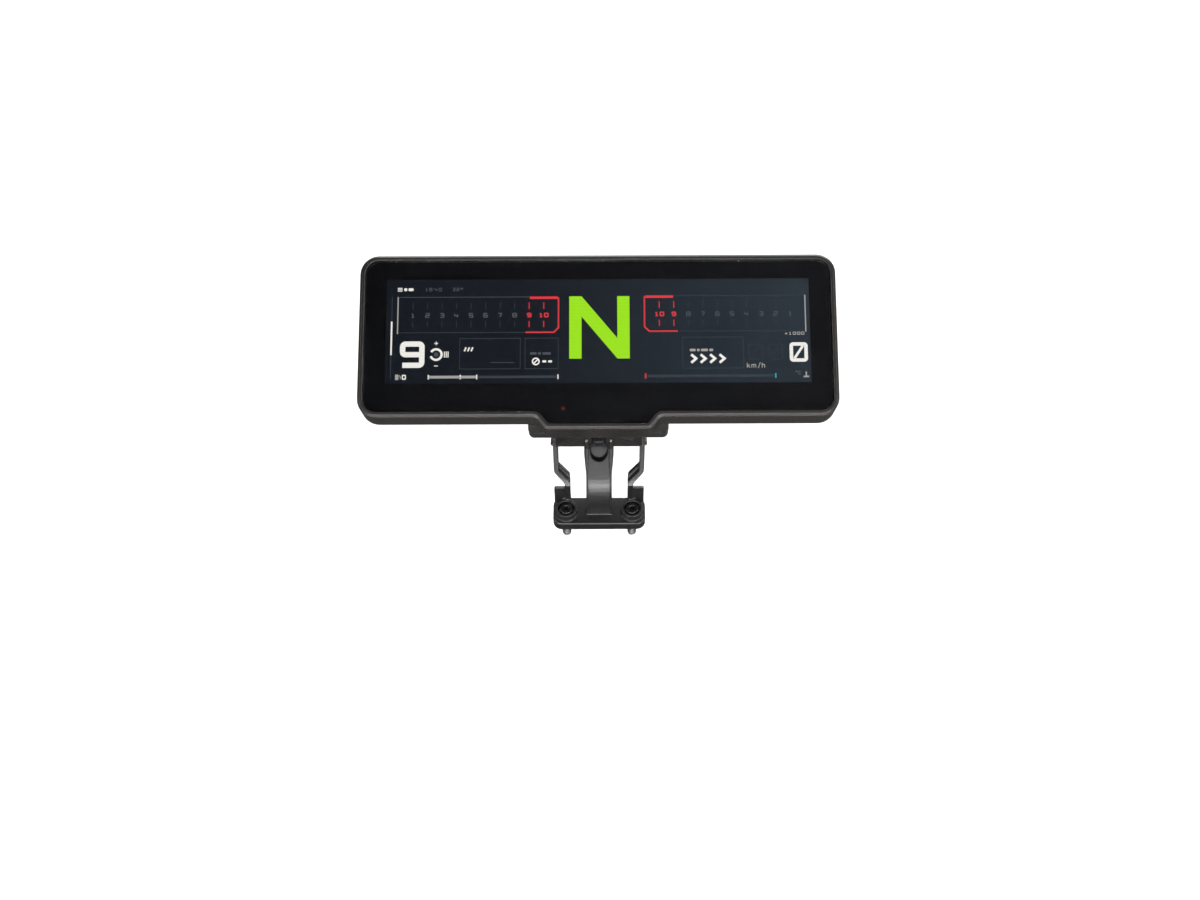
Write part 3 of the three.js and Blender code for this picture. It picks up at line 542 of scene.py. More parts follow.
def front_bezel():
    """A thin wall with a chamfered rim, a ledge for the glass and a post for each housing screw."""
    profile = outline([
        (0, BEZEL_BACK, 0.5), (BEZEL_WALL, BEZEL_BACK, 0.3), (BEZEL_WALL, LEDGE_BACK, 0),
        (RIM_WIDTH - 0.3, LEDGE_FRONT - 0.3, 0), (RIM_WIDTH - 0.3, RIM_PROUD, 0.3),
        (RIM_CHAMFER, RIM_PROUD, 0.3), (0, RIM_PROUD - RIM_CHAMFER, 0.4),
    ])
    shell = skinned([(face_ring(inset), w) for inset, w in profile], closed=True)
    ledge = cut(
        prism(face_ring(1.6), LEDGE_BACK, LEDGE_FRONT),
        box(-WINDOW_HALF, WINDOW_HALF, WINDOW_BOTTOM, WINDOW_TOP, LEDGE_BACK - 1, LEDGE_FRONT + 1, 0.6),
        rod(SENSOR_HOLE, LEDGE_BACK - 1, LEDGE_FRONT + 1, *SENSOR_AT),
    )
    posts = [rod(POST_RADIUS, POST_BACK, LEDGE_BACK + 0.4, u, v, 32) for u, v in POSTS]
    holes = [rod(POST_HOLE, POST_BACK - 1, LEDGE_BACK - 1.8, u, v, 24) for u, v in POSTS]
    return cut(join(shell, ledge, *posts), *holes)


def cover_glass():
    """A pane that follows the bezel's outline, chamfered behind and rounded in front."""
    profile = [
        (0.25, GLASS_BACK), (0.07, GLASS_BACK + 0.08), (0, GLASS_BACK + 0.3),
        (0, -0.35), (0.05, -0.14), (0.16, -0.03), (0.32, 0),
    ]
    return skinned([(face_ring(GLASS_INSET + step), w) for step, w in profile])


piece("bezel_shell", front_bezel(), DISPLAY, "front_bezel", sharp=32)
piece("glass_pane", cover_glass(), DISPLAY, "cover_glass", sharp=60)

# ---- screen image -------------------------------------------------------------------------------
INK_BACK = extent("ink_border", DISPLAY)[0].z
FILM_FRONT = extent("front_polariser", DISPLAY)[1].z
IMAGE_BACK, IMAGE_FRONT = FILM_FRONT + 0.03, INK_BACK - 0.06

CHARACTERS = {
    "0": [[(0, 0), (1, 0), (1, 1), (0, 1), (0, 0)]],
    "1": [[(0.15, 0.8), (0.5, 1), (0.5, 0)], [(0.15, 0), (0.85, 0)]],
    "2": [[(0, 1), (1, 1), (1, 0.5), (0, 0.5), (0, 0), (1, 0)]],
    "3": [[(0, 1), (1, 1), (1, 0), (0, 0)], [(0.25, 0.5), (1, 0.5)]],
    "4": [[(0, 1), (0, 0.38), (1, 0.38)], [(0.74, 0.75), (0.74, 0)]],
    "5": [[(1, 1), (0, 1), (0, 0.5), (1, 0.5), (1, 0), (0, 0)]],
    "6": [[(1, 1), (0, 1), (0, 0), (1, 0), (1, 0.5), (0, 0.5)]],
    "7": [[(0, 1), (1, 1), (0.4, 0)]],
    "8": [[(0, 0), (1, 0), (1, 1), (0, 1), (0, 0)], [(0, 0.5), (1, 0.5)]],
    "9": [[(1, 0.5), (0, 0.5), (0, 1), (1, 1), (1, 0), (0, 0)]],
    ":": [[(0.5, 0.2), (0.5, 0.36)], [(0.5, 0.64), (0.5, 0.8)]],
    "o": [[(0.1, 0.6), (0.9, 0.6), (0.9, 1), (0.1, 1), (0.1, 0.6)]],
    "k": [[(0, 1), (0, 0)], [(0.9, 0.68), (0.05, 0.34)], [(0.35, 0.45), (0.95, 0)]],
    "m": [[(0, 0), (0, 0.66), (0.5, 0.66), (0.5, 0)], [(0.5, 0.66), (1, 0.66), (1, 0)]],
    "h": [[(0, 1), (0, 0)], [(0, 0.66), (0.9, 0.66), (0.9, 0)]],
    "/": [[(0.1, -0.1), (0.9, 1.1)]],
    "C": [[(1, 0.8), (1, 1), (0, 1), (0, 0), (1, 0), (1, 0.2)]],
    "x": [[(0.1, 0.1), (0.9, 0.7)], [(0.1, 0.7), (0.9, 0.1)]],
}


class Ink:
    """Everything on the screen that has one colour: thin flat solids between film and ink."""

    def __init__(self, name, colour):
        self.name = name
        self.bm = bmesh.new()
        self.look = glowing(name, colour)
        self.back, self.front = IMAGE_BACK, IMAGE_FRONT

    def stroke(self, points, width):
        """A flat stroke of even width along a path; a path that ends where it starts closes."""
        path = [Vector(p) for p in points]
        closed = (path[0] - path[-1]).length < 1e-6 and len(path) > 3
        if closed:
            path.pop()
        count = len(path)
        sides = []
        for i, point in enumerate(path):
            into = (point - path[i - 1]).normalized() if i or closed else None
            out = (path[(i + 1) % count] - point).normalized() if i < count - 1 or closed else None
            into, out = into or out, out or into
            mitre = (into + out).normalized().orthogonal()
            reach = width / 2 / max(mitre.dot(into.orthogonal()), 0.35)
            sides.append((point + mitre * reach, point - mitre * reach))
        rings = [
            [self.bm.verts.new((*p, w)) for p, w in
             ((left, self.back), (left, self.front), (right, self.front), (right, self.back))]
            for left, right in sides
        ]
        pairs = list(zip(rings, rings[1:])) + ([(rings[-1], rings[0])] if closed else [])
        for a, b in pairs:
            for k in range(4):
                self.bm.faces.new((a[k], a[(k + 1) % 4], b[(k + 1) % 4], b[k]))
        if not closed:
            self.bm.faces.new(reversed(rings[0]))
            self.bm.faces.new(rings[-1])

    def area(self, points):
        low = [self.bm.verts.new((*p, self.back)) for p in points]
        high = [self.bm.verts.new((*p, self.front)) for p in points]
        self.bm.faces.new(reversed(low))
        self.bm.faces.new(high)
        for i in range(len(low)):
            j = (i + 1) % len(low)
            self.bm.faces.new((low[i], low[j], high[j], high[i]))

    def block(self, u0, v0, u1, v1):
        self.area([(u0, v0), (u1, v0), (u1, v1), (u0, v1)])

    def write(self, text, u, v, height, width, thick, pitch=None):
        """Characters whose outer box is height by width, starting at u, with v at mid-height."""
        pitch = pitch or width + thick * 1.3
        for i, character in enumerate(text):
            for path in CHARACTERS[character]:
                inner = (width - thick, height - thick)
                left = u + i * pitch + thick / 2
                low = v - height / 2 + thick / 2
                points = [Vector((left + x * inner[0], low + y * inner[1])) for x, y in path]
                self.stroke(curved(points, thick * 0.55), thick)

    def dashes(self, u, v, height, lengths, gap=0.7):
        """A row of solid dashes in place of a caption."""
        for length in lengths:
            self.area(rectangle(u, v - height / 2, u + length, v + height / 2, height * 0.3))
            u += length + gap

    def finish(self):
        bmesh.ops.recalc_face_normals(self.bm, faces=self.bm.faces)
        self.bm.transform(Matrix.Scale(MM, 4))
        mesh = bpy.data.meshes.new(self.name)
        self.bm.to_mesh(mesh)
        self.bm.free()
        mesh.materials.append(self.look)
        obj = bpy.data.objects.new(self.name, mesh)
        bpy.context.scene.collection.objects.link(obj)
        return placed(obj, DISPLAY, [], "display")


def curved(points, radius, steps=5):
    """A path whose corners are rounded; a closed path is rounded at its seam too."""
    closed = (points[0] - points[-1]).length < 1e-6
    path = points[:-1] if closed else points
    result = []
    for i, point in enumerate(path):
        if not closed and i in (0, len(path) - 1):
            result.append(point)
            continue
        before, after = path[i - 1] - point, path[(i + 1) % len(path)] - point
        half = before.angle(after) / 2
        reach = min(radius / math.tan(half), before.length * 0.48, after.length * 0.48)
        bend = reach * math.tan(half)
        centre = point + (before.normalized() + after.normalized()).normalized() * (bend / math.sin(half))
        start = point + before.normalized() * reach - centre
        turn = math.copysign(math.pi - 2 * half, -before.cross(after))
        result += [centre + Matrix.Rotation(turn * k / steps, 2) @ start for k in range(steps + 1)]
    return result + [result[0]] if closed else result


def ring_path(u, v, radius, start, end, steps=28):
    angles = [math.radians(start + (end - start) * i / steps) for i in range(steps + 1)]
    return [Vector((u + radius * math.cos(a), v + radius * math.sin(a))) for a in angles]


white = Ink("image_white", linear(246, 243, 234))
silver = Ink("image_silver", linear(166, 164, 158))
grey = Ink("image_grey", linear(88, 91, 93))
dim = Ink("image_dim", linear(74, 79, 85))
faint = Ink("image_faint", linear(54, 62, 69))
ghost = Ink("image_ghost", linear(44, 50, 58))
red = Ink("image_red", linear(226, 60, 66))
green = Ink("image_green", linear(160, 232, 30))
cyan = Ink("image_cyan", linear(40, 176, 190))

TACH_TOP, TACH_LOW, TACH_INNER, TACH_OUTER = 18.2, -1.2, 21.9, 105.6
TACH_CENTRES = {-1: (1.4, 0.6), 1: (2.4, 0.95)}
FIGURE_V, FIGURE_FIRST, FIGURE_PITCH = 8.1, 29.6, 7.57
FIGURE_HEIGHT, FIGURE_WIDTH, DIGIT_PITCH = 2.5, 2.4, 2.75
TICKS = ((11.4, 15.0), (1.6, 4.9))
REDLINE_FIGURE = 9
LINE, HAIR = 0.75, 0.3


def tachometer(side):
    """One half of the rev band: figures 10 to 1 outwards from the middle, the last two in red."""
    centre, rise = TACH_CENTRES[side]

    def at(reach, v):
        return centre + side * reach, v + rise

    for figure in range(10, 0, -1):
        reach = FIGURE_FIRST + (10 - figure) * FIGURE_PITCH
        over = figure >= REDLINE_FIGURE
        text = str(figure)
        figure_ink = red if over else grey if side < 0 else dim
        u, v = at(reach, FIGURE_V)
        left = u - (FIGURE_WIDTH + DIGIT_PITCH * (len(text) - 1)) / 2
        figure_ink.write(text, left, v, FIGURE_HEIGHT, FIGURE_WIDTH, 0.6 if over else 0.45, DIGIT_PITCH)
        for low, high in TICKS:
            (red if over else faint).stroke([at(reach, low), at(reach, high)], 0.45 if over else HAIR)
    bend, band, reach = 2.4, 1.35, TACH_INNER
    red.stroke([at(reach + 15, TACH_TOP - band / 2), at(reach + 0.4, TACH_TOP - band / 2)], band)
    red.stroke([
        at(reach, TACH_TOP - 0.5), at(reach, TACH_LOW + bend),
        at(reach + bend, TACH_LOW), at(reach + 17.2, TACH_LOW),
    ], LINE)
    end = TACH_OUTER - 0.6
    (dim if side < 0 else faint).stroke([at(reach + 15.4, TACH_TOP - 0.2), at(end, TACH_TOP - 0.2)], HAIR)
    faint.stroke([at(reach + 17.8, TACH_LOW), at(end, TACH_LOW)], HAIR)
    silver.stroke([at(TACH_OUTER, TACH_LOW - 0.6), at(TACH_OUTER, TACH_TOP)], 0.6)


def frame_box(ink, u0, v0, u1, v1, width=HAIR):
    ink.stroke([(u0, v0), (u1, v0), (u1, v1), (u0, v1), (u0, v0)], width)


def header():
    """Menu symbol, clock and air temperature."""
    v = 22.8
    small = {"height": 1.9, "width": 1.6, "thick": 0.36}
    for lift in (-0.75, 0, 0.75):
        white.stroke([(-104.5, v + lift), (-102.1, v + lift)], 0.4)
    white.dashes(-101.2, v, 1.5, (1.6, 2.6))
    dim.write("18", -90.2, v, **small)
    dim.write(":", -86.6, v, **{**small, "width": 1.0})
    dim.write("40", -85.2, v, **small)
    dim.write("32o", -76.0, v, **small)


def assist_level():
    """The traction figure and its ring symbol with a plus above and a minus below."""
    white.write("9", -102.7, -12.4, 14.2, 12.8, 2.8)
    ring_u, ring_v = -83.9, -12.4
    white.stroke(ring_path(ring_u, ring_v, 2.85, -162, 152), 1.15)
    dim.area(circle(1.2, 20, ring_u, ring_v))
    for i in range(3):
        u = ring_u + 4.3 + i * 0.95
        white.stroke([(u, ring_v - 1.6), (u, ring_v + 1.6)], 0.5)
    white.stroke([(ring_u - 1, ring_v + 6), (ring_u + 1, ring_v + 6)], 0.36)
    white.stroke([(ring_u, ring_v + 5), (ring_u, ring_v + 7)], 0.36)
    white.stroke([(ring_u - 1, ring_v - 6.1), (ring_u + 1, ring_v - 6.1)], 0.42)


def setting_boxes():
    """Two boxes with the state of the riding aids and one with the riding mode."""
    frame_box(faint, -71.7, -20.2, -40.3, -3.8)
    for i in range(3):
        u = -69.3 + i * 1.75
        white.stroke([(u, -10.7), (u + 0.9, -8.6)], 0.75)
    faint.stroke([(-56.0, -16.8), (-43.4, -16.8)], 0.5)
    frame_box(faint, -37.8, -20.2, -20.6, -3.8)
    dim.dashes(-35.2, -12.0, 1.3, (3.4, 1.6, 4.4))
    stop_u, stop_v, stop_radius = -32.2, -16.3, 1.7
    white.stroke(ring_path(stop_u, stop_v, stop_radius, 0, 360), 0.7)
    white.stroke([(stop_u - 1.1, stop_v - 1.1), (stop_u + 1.1, stop_v + 1.1)], 0.6)
    white.dashes(-28.8, stop_v, 1.1, (2.0, 2.0), 1.0)
    frame_box(faint, 43.9, -20.2, 75.4, -3.6)
    silver.dashes(47.6, -10.5, 1.3, (3.0, 1.4, 3.6, 2.0))
    for i in range(4):
        u = 48.3 + i * 4.9
        white.stroke([(u, -17.3), (u + 2.5, -15.1), (u, -12.9)], 1.3)


def fuel_bar():
    """Pump symbol, figure and level bar."""
    v = -24.5
    silver.block(-104.9, v - 1.4, -103.2, v + 1.4)
    silver.stroke([(-102.9, v + 1.0), (-102.2, v + 0.3), (-102.2, v - 1.0)], 0.4)
    white.write("0", -101.4, v, 2.6, 2.1, 0.55)
    silver.block(-87.6, v - 0.7, -62.9, v + 0.7)
    for u in (-87.7, -71.2, -62.7):
        white.stroke([(u, v - 1.2), (u, v + 1.2)], 0.6)
    faint.block(-62.2, v - 0.65, -21.6, v + 0.65)
    white.stroke([(-20.7, v - 1.2), (-20.7, v + 1.2)], 0.6)


def speed():
    """Speed in km/h with its two idle figures, and the rev band's multiplier."""
    for u in (77.7, 88.3):
        ghost.write("0", u, -11.6, 9.0, 7.8, 1.1)
        ghost.stroke([(u + 2.2, -14.4), (u + 5.6, -8.8)], 0.9)
    white.write("0", 99.3, -11.8, 10.4, 9.4, 1.8)
    white.stroke([(101.8, -15.1), (106.2, -8.5)], 1.3)
    unit_v = -18.8
    for character, u in zip("km/h", (77.0, 79.3, 82.5, 84.7)):
        silver.write(character, u, unit_v, 2.9, 2.5 if character == "m" else 1.8, 0.38)
    silver.write("x1000", 96.9, -1.7, 1.6, 1.7, 0.34, 2.15)


def coolant_bar():
    """Temperature band from hot to cold, its unit and its symbol."""
    v = -24.3
    faint.block(25.4, v - 0.65, 91.0, v + 0.65)
    red.stroke([(24.6, v - 1.3), (24.6, v + 1.3)], 0.7)
    cyan.stroke([(91.8, v - 1.2), (91.8, v + 1.2)], 0.7)
    grey.write("o", 102.0, v + 1.7, 1.8, 1.1, 0.34)
    grey.write("C", 103.4, v + 1.5, 1.8, 1.6, 0.34)
    silver.stroke([(107.6, v - 0.4), (107.6, v + 2.0)], 0.7)
    silver.stroke([(106.2, v - 0.6), (109.0, v - 0.6)], 0.8)


def neutral_letter():
    """The neutral sign: two posts and a diagonal, cut from one outline."""
    left, right, low, high, post, diagonal = -14.9, 16.5, -14.9, 18.8, 6.4, 11.0
    green.area([
        (left, low), (left + post, low), (left + post, high - diagonal),
        (right - post, low), (right, low), (right, high), (right - post, high),
        (right - post, low + diagonal), (left + post, high), (left, high),
    ])


def warning_strip():
    """The white level mark at the far left."""
    u = -107.3
    white.stroke([(u, -12.6), (u, 5.5)], 0.8)
    for low, high in ((-25.2, -13.2), (6.1, 18.8)):
        faint.stroke([(u, low), (u, high)], 0.4)


for hand in (-1, 1):
    tachometer(hand)
header()
assist_level()
setting_boxes()
fuel_bar()
speed()
coolant_bar()
neutral_letter()
warning_strip()
for ink in (white, silver, grey, dim, faint, ghost, red, green, cyan):
    ink.finish()

# ---- rear housing -------------------------------------------------------------------------------
PLATE_OUTER, PLATE_INNER, PLATE_FRONT = -17.0, -15.4, -13
BLOCK_HALF, BLOCK_BOTTOM, BLOCK_TOP, BLOCK_BACK, BLOCK_WALL = 36.8, -51, 15, -28.0, 2
SHELF_BOTTOM, SHELF_FLOOR = -43.3, -41.4
FIN_FIRST, FIN_PITCH, FINS_PER_SIDE, FIN_DEPTH, FIN_LOW, FIN_HIGH = 47, 9, 7, 3.6, -27, 24
CARRIER_BOSS, CARRIER_HOLE, SCREW_HOLE = 4.6, 2.25, 1.65
VENT_AT, VENT_HOLE = (41.5, 20), 4.3
SOCKET_U, SOCKET_V, SOCKET_GAP = 20, 10, 0.3
CARRIER_SEATS = across_display(CARRIER_SCREWS)


def rear_housing():
    """A finned plate with a deeper block in the middle, hollowed and drilled."""
    def block(low, back, front):
        return prism(rectangle(-BLOCK_HALF, low, BLOCK_HALF, BLOCK_TOP, 3), back, front)

    shell = join(
        prism(face_ring(2.9), PLATE_OUTER, PLATE_FRONT),
        block(SHELF_BOTTOM, -20, -16),
        block(BLOCK_BOTTOM, BLOCK_BACK, -17.5),
    )
    fin_back, fin_root = PLATE_OUTER - FIN_DEPTH, PLATE_OUTER + 0.5
    fin_places = range(FIN_FIRST, FIN_FIRST + FINS_PER_SIDE * FIN_PITCH, FIN_PITCH)
    fins = [
        box(side * u - 1, side * u + 1, FIN_LOW, FIN_HIGH, fin_back, fin_root, 0.95)
        for side in (-1, 1) for u in fin_places
    ]
    bosses = [rod(CARRIER_BOSS, -27, -19.5, u, v) for u, v in CARRIER_SEATS]
    side, top, back = BLOCK_HALF - BLOCK_WALL, BLOCK_TOP - BLOCK_WALL, BLOCK_BACK + BLOCK_WALL
    hollow = [
        prism(face_ring(4.7), PLATE_INNER, -12),
        box(-side, side, SHELF_FLOOR, top, back, -14),
        box(-side, side, BLOCK_BOTTOM + BLOCK_WALL, top, back, -19.4),
    ]
    holes = [rod(CARRIER_HOLE, BLOCK_BACK - 1, -18.5, u, v, 32) for u, v in CARRIER_SEATS]
    holes += [rod(SCREW_HOLE, -18, -12, u, v, 24) for u, v in POSTS]
    holes.append(prism(centred(SOCKET_U + SOCKET_GAP, SOCKET_V + SOCKET_GAP, 3), BLOCK_BACK - 1, -25))
    holes.append(rod(VENT_HOLE, -18, -15, *VENT_AT))
    post_bosses = [rod(POST_RADIUS, -15.6, -12.9, u, v, 32) for u, v in POSTS]
    outer = join(shell, *fins)
    return cut(join(cut(outer, *hollow), *post_bosses, *bosses), *holes)


piece("rear_shell", rear_housing(), DISPLAY, "rear_housing", rounding=0.35)

# ---- fasteners ----------------------------------------------------------------------------------


def thread(radius, pitch, depth, low, high, sides=40):
    """A rod with a real helical thread and a chamfered tip."""
    rows = int((high - low) / pitch * 8)
    levels = []
    for row in range(rows + 1):
        z = low + (high - low) * row / rows
        taper = min(1, (z - low) / pitch + 0.35)
        points = []
        for i in range(sides):
            phase = (z / pitch - i / sides) % 1
            r = radius - depth * taper * abs(2 * phase - 1) - (1 - taper) * depth
            angle = math.tau * i / sides
            points.append((r * math.cos(angle), r * math.sin(angle)))
        levels.append((points, z))
    return skinned(levels)


def cap_screw(head, height, shank, socket, length, threaded=0.0, sides=64):
    """A socket-head screw along Z, its head above 0: rounded crown, hexagon socket, chamfered tip."""
    crown = min(height * 0.28, 0.9)
    arc = [
        (head - crown + crown * math.cos(a), height - crown + crown * math.sin(a))
        for a in (math.radians(d) for d in range(0, 91, 15))
    ]
    if threaded:
        foot = [(0, 0.3), (shank, 0.3), (shank, 0)]
    else:
        foot = [(0, -length), (shank - 0.4, -length), (shank, -length + 0.4), (shank, 0)]
    body = turned([*foot, (head - 0.15, 0), (head, 0.15), *arc, (0, height)], sides)
    depth = height * 0.62
    hexagon = prism(circle(socket, 6), height - depth, height + 1)
    lead = turned([
        (0, height - 0.3), (socket * 0.86, height - 0.3), (socket * 1.12, height + 0.02),
        (socket * 1.12, height + 1), (0, height + 1),
    ], 32)
    body = cut(body, hexagon, lead)
    return merged(body, thread(shank, threaded, threaded * 0.5, -length, 0.25)) if threaded else body


def on_axis(node, space, height=0):
    """A space moved to a CAD node's own middle, at a height along the space's Z."""
    low, high = extent(node, space)
    return space @ Matrix.Translation(((low.x + high.x) / 2, (low.y + high.y) / 2, height))


def screws(names, space, head, height, shank, socket, threaded=0.0):
    """Places one screw shape at each named CAD node, head towards the space's +Z."""
    first = None
    for node in names:
        low, high = extent(node, space)
        seat = on_axis(node, space, high.z - height)
        if first is None:
            shape = cap_screw(head, height, shank, socket, high.z - height - low.z, threaded)
            first = piece(node + "_fine", shape, seat, node, sharp=30)
        else:
            again(first, node + "_fine", seat, node)


screws(HOUSING_SCREWS, BACKWARD, 2.5, 1.8, 1.3, 1.1)
screws(CARRIER_SCREWS, BACKWARD, 4.6, 2.8, 2.0, 1.6)
screws(BOARD_SCREWS, BACKWARD, 2.5, 1.4, 1.2, 1.1)
screws(["base_screw_left", "base_screw_right"], BASE, 3.8, 3.2, 2.5, 1.7, threaded=0.8)
screws(["clamp_screw"], DOWNWARD, 4.1, 4.0, 2.5, 2.0)


def ring(inner, outer, low, high, edge=0.15, sides=64):
    """A washer or sleeve with softened edges."""
    return turned([
        (inner + edge, low), (outer - edge, low), (outer, low + edge), (outer, high - edge),
        (outer - edge, high), (inner + edge, high), (inner, high - edge), (inner, low + edge),
    ], sides)


def stand_in(name, node, space, shape_of):
    """A piece built round a CAD node's own middle, from its extent along the space's Z."""
    low, high = extent(node, space)
    return piece(name, shape_of(high.z - low.z), on_axis(node, space, low.z), node, sharp=30)


def base_washer(height):
    return ring(2.9, 4.4, 0, height, 0.2)


def friction_washer(height):
    return ring(4.3, 7.2, 0, height, 0.15)


def carrier_bushing(height):
    """A rubber bush with a flange below and a sleeve above."""
    return turned([
        (2.6, 0.2), (2.8, 0), (5.6, 0), (5.9, 0.15), (6, 0.5), (5.9, 0.85), (5.6, 1), (4.5, 1.05),
        (4.3, 1.3), (4.3, height - 0.3), (4.0, height), (2.8, height), (2.6, height - 0.2),
    ], 48)


for hand in ("left", "right"):
    stand_in(f"base_washer_{hand}_fine", f"base_washer_{hand}", BASE, base_washer)
    stand_in(f"friction_washer_{hand}_fine", f"friction_washer_{hand}", RIGHTWARD, friction_washer)

for i in range(4):
    stand_in(f"carrier_bushing_{i + 1}_fine", f"carrier_bushing_{i + 1}", DISPLAY, carrier_bushing)

BOLT_RADIUS, BOLT_HEAD, BOLT_HEAD_HEIGHT = 4, 6.5, 4.7
BOLT_SOCKET, BOLT_SOCKET_DEPTH = 2.6, 3
NUT_CORNER, NUT_FACE, NUT_BORE, NUT_CHAMFER = 7.2, 6.3, 4.2, 0.55


def pivot_bolt():
    """Button head at the top, then a plain shoulder with a chamfered end."""
    low, high = extent("pivot_bolt", LEFTWARD)
    head_base = high.z - BOLT_HEAD_HEIGHT
    body = turned([
        (0, low.z), (BOLT_RADIUS - 0.6, low.z), (BOLT_RADIUS, low.z + 0.6), (BOLT_RADIUS, head_base),
        (BOLT_HEAD - 0.2, head_base), (BOLT_HEAD, head_base + 0.2), (BOLT_HEAD, high.z - 1.2),
        (BOLT_HEAD - 0.3, high.z - 0.5), (BOLT_HEAD - 0.9, high.z), (0, high.z),
    ])
    return cut(body, prism(circle(BOLT_SOCKET, 6), high.z - BOLT_SOCKET_DEPTH, high.z + 1))


def hexagon_nut(height):
    """A nut with both faces chamfered and a countersunk bore."""
    hexagon = prism(circle(NUT_CORNER, 6), 0, height)
    rim, lead = NUT_CORNER + 0.05, NUT_BORE + 0.7
    cone = turned([
        (0, -0.01), (NUT_FACE, -0.01), (rim, NUT_CHAMFER), (rim, height - NUT_CHAMFER),
        (NUT_FACE, height + 0.01), (0, height + 0.01),
    ], 72)
    bore = turned([
        (0, -1), (lead, -1), (lead, -0.05), (NUT_BORE, 0.6), (NUT_BORE, height - 0.6),
        (lead, height + 0.05), (lead, height + 1), (0, height + 1),
    ], 48)
    return cut(common(hexagon, cone), bore)


piece("pivot_bolt_fine", pivot_bolt(), on_axis("pivot_bolt", LEFTWARD), "pivot_bolt", sharp=30)
stand_in("pivot_nut_fine", "pivot_nut", RIGHTWARD, hexagon_nut)

# ---- connector, vent and sensor -----------------------------------------------------------------
SOCKET_BACK, SOCKET_WALL, FLANGE_GROWTH = -42, 2, 3
PINS_U, PINS_V, PIN_COLUMNS, PIN_PITCH, PIN_ROW = 17, 7, 8, 3.8, 3


def connector_socket():
    """A shroud open at the back, with a flange, a latch tooth and two keys."""
    shroud = join(
        prism(centred(SOCKET_U, SOCKET_V, 3), SOCKET_BACK, -12.7),
        prism(centred(SOCKET_U + FLANGE_GROWTH, SOCKET_V + FLANGE_GROWTH, 4), -24.8, -22.6),
        prism(outline([(-4, 9, 0), (4, 9, 0), (4, 12, 0.6), (-4, 12, 0.6)]), -36, -32),
        *[box(u - 0.7, u + 0.7, -SOCKET_V - 0.8, SOCKET_V + 0.8, -40, -27) for u in (-13, 13)],
    )
    mouth = prism(centred(SOCKET_U - SOCKET_WALL, SOCKET_V - SOCKET_WALL, 1.5), SOCKET_BACK - 1, -24)
    return cut(shroud, mouth, prism(centred(PINS_U, PINS_V), -21, -11))


def contact_pins():
    """Two rows of square pins with tapered tips."""
    def pin(u, v):
        levels = [(0.25, -31), (0.6, -30.2), (0.6, -25)]
        return skinned([(rectangle(u - half, v - half, u + half, v + half), w) for half, w in levels])

    places = [(column - (PIN_COLUMNS - 1) / 2) * PIN_PITCH for column in range(PIN_COLUMNS)]
    return merged(*[pin(u, v) for u in places for v in (-PIN_ROW, PIN_ROW)])


def pin_base():
    return prism(centred(PINS_U, PINS_V, 0.8), -25.9, -24.3)


piece("connector_shroud", connector_socket(), DISPLAY, "connector_socket", rounding=0.25)
piece("contact_pins", contact_pins(), DISPLAY, [], slot="contact_pin", sharp=30, body="display")
piece("pin_base", pin_base(), DISPLAY, "pin_header", slot="black_plastic", sharp=30)


def pressure_vent(height):
    """A round cap with six radial slots round a raised middle."""
    cap = turned([
        (0, height), (3.2, height), (3.7, height - 0.12), (4, height - 0.45), (4, 0.4),
        (3.7, 0.1), (3.3, 0), (1.6, 0), (1.4, 0.15), (0, 0.15),
    ])
    slots = [
        moved(box(1.9, 3.3, -0.28, 0.28, -0.5, 0.55, 0.27), Matrix.Rotation(math.radians(60 * i), 4, "Z"))
        for i in range(6)
    ]
    return cut(cap, *slots)


def light_sensor(height):
    """A small domed window."""
    return turned([
        (0, 0), (1.5, 0), (1.6, 0.1), (1.6, height - 0.7), (1.45, height - 0.35),
        (1.1, height - 0.12), (0.6, height - 0.02), (0, height),
    ], 40)


stand_in("pressure_vent_fine", "pressure_vent", DISPLAY, pressure_vent)
stand_in("light_sensor_fine", "light_sensor", DISPLAY, light_sensor)


# ---- castings -----------------------------------------------------------------------------------
CAST_VOXEL, CAST_KEEP = 0.3, 0.35


def casting(name, node, rounds):
    """A cast part from its CAD solid: edges and inner corners rounded as a mould leaves them."""
    bm = bmesh.new()
    bm.from_mesh(frame["nodes"][node].data)
    bmesh.ops.remove_doubles(bm, verts=bm.verts, dist=1e-6)
    obj = scratch_object(bm)
    obj.name = name
    remesh = obj.modifiers.new("mould", "REMESH")
    remesh.mode = "VOXEL"
    remesh.voxel_size = CAST_VOXEL * MM
    smooth = obj.modifiers.new("soften", "SMOOTH")
    smooth.factor = 0.5
    smooth.iterations = rounds
    thin = obj.modifiers.new("thin", "DECIMATE")
    thin.ratio = CAST_KEEP
    obj.data = evaluated(obj)
    obj.modifiers.clear()
    obj.data.name = name
    obj.data.shade_smooth()
    obj.data.materials.clear()
    obj.data.materials.append(LOOKS[NODE_SLOT[node]])
    return placed(obj, WORLD, [node])


casting("bracket_casting", "mounting_bracket", 6)
casting("carrier_casting", "tilt_carrier", 5)


# ---- studio -------------------------------------------------------------------------------------
def area_light(name, at, towards, width, height, watts):
    light = bpy.data.lights.new(name, "AREA")
    light.shape = "RECTANGLE"
    light.size, light.size_y = width, height
    light.energy = watts
    obj = bpy.data.objects.new(name, light)
    bpy.context.scene.collection.objects.link(obj)
    obj.location = at
    obj.rotation_mode = "QUATERNION"
    obj.rotation_quaternion = (Vector(towards) - Vector(at)).to_track_quat("-Z", "Y")
    return obj


FLOOR_BOUNCE = 0.09
GLOW_NEAR, GLOW_FAR = 0.42, 0.95  # emission at each of the next two distances, in metres
NEAR, FAR = 0.2, 1.6
ROOM_LEFT, ROOM_RIGHT = [0.03, 0.03, 0.035, 1], [0.30, 0.30, 0.31, 1]


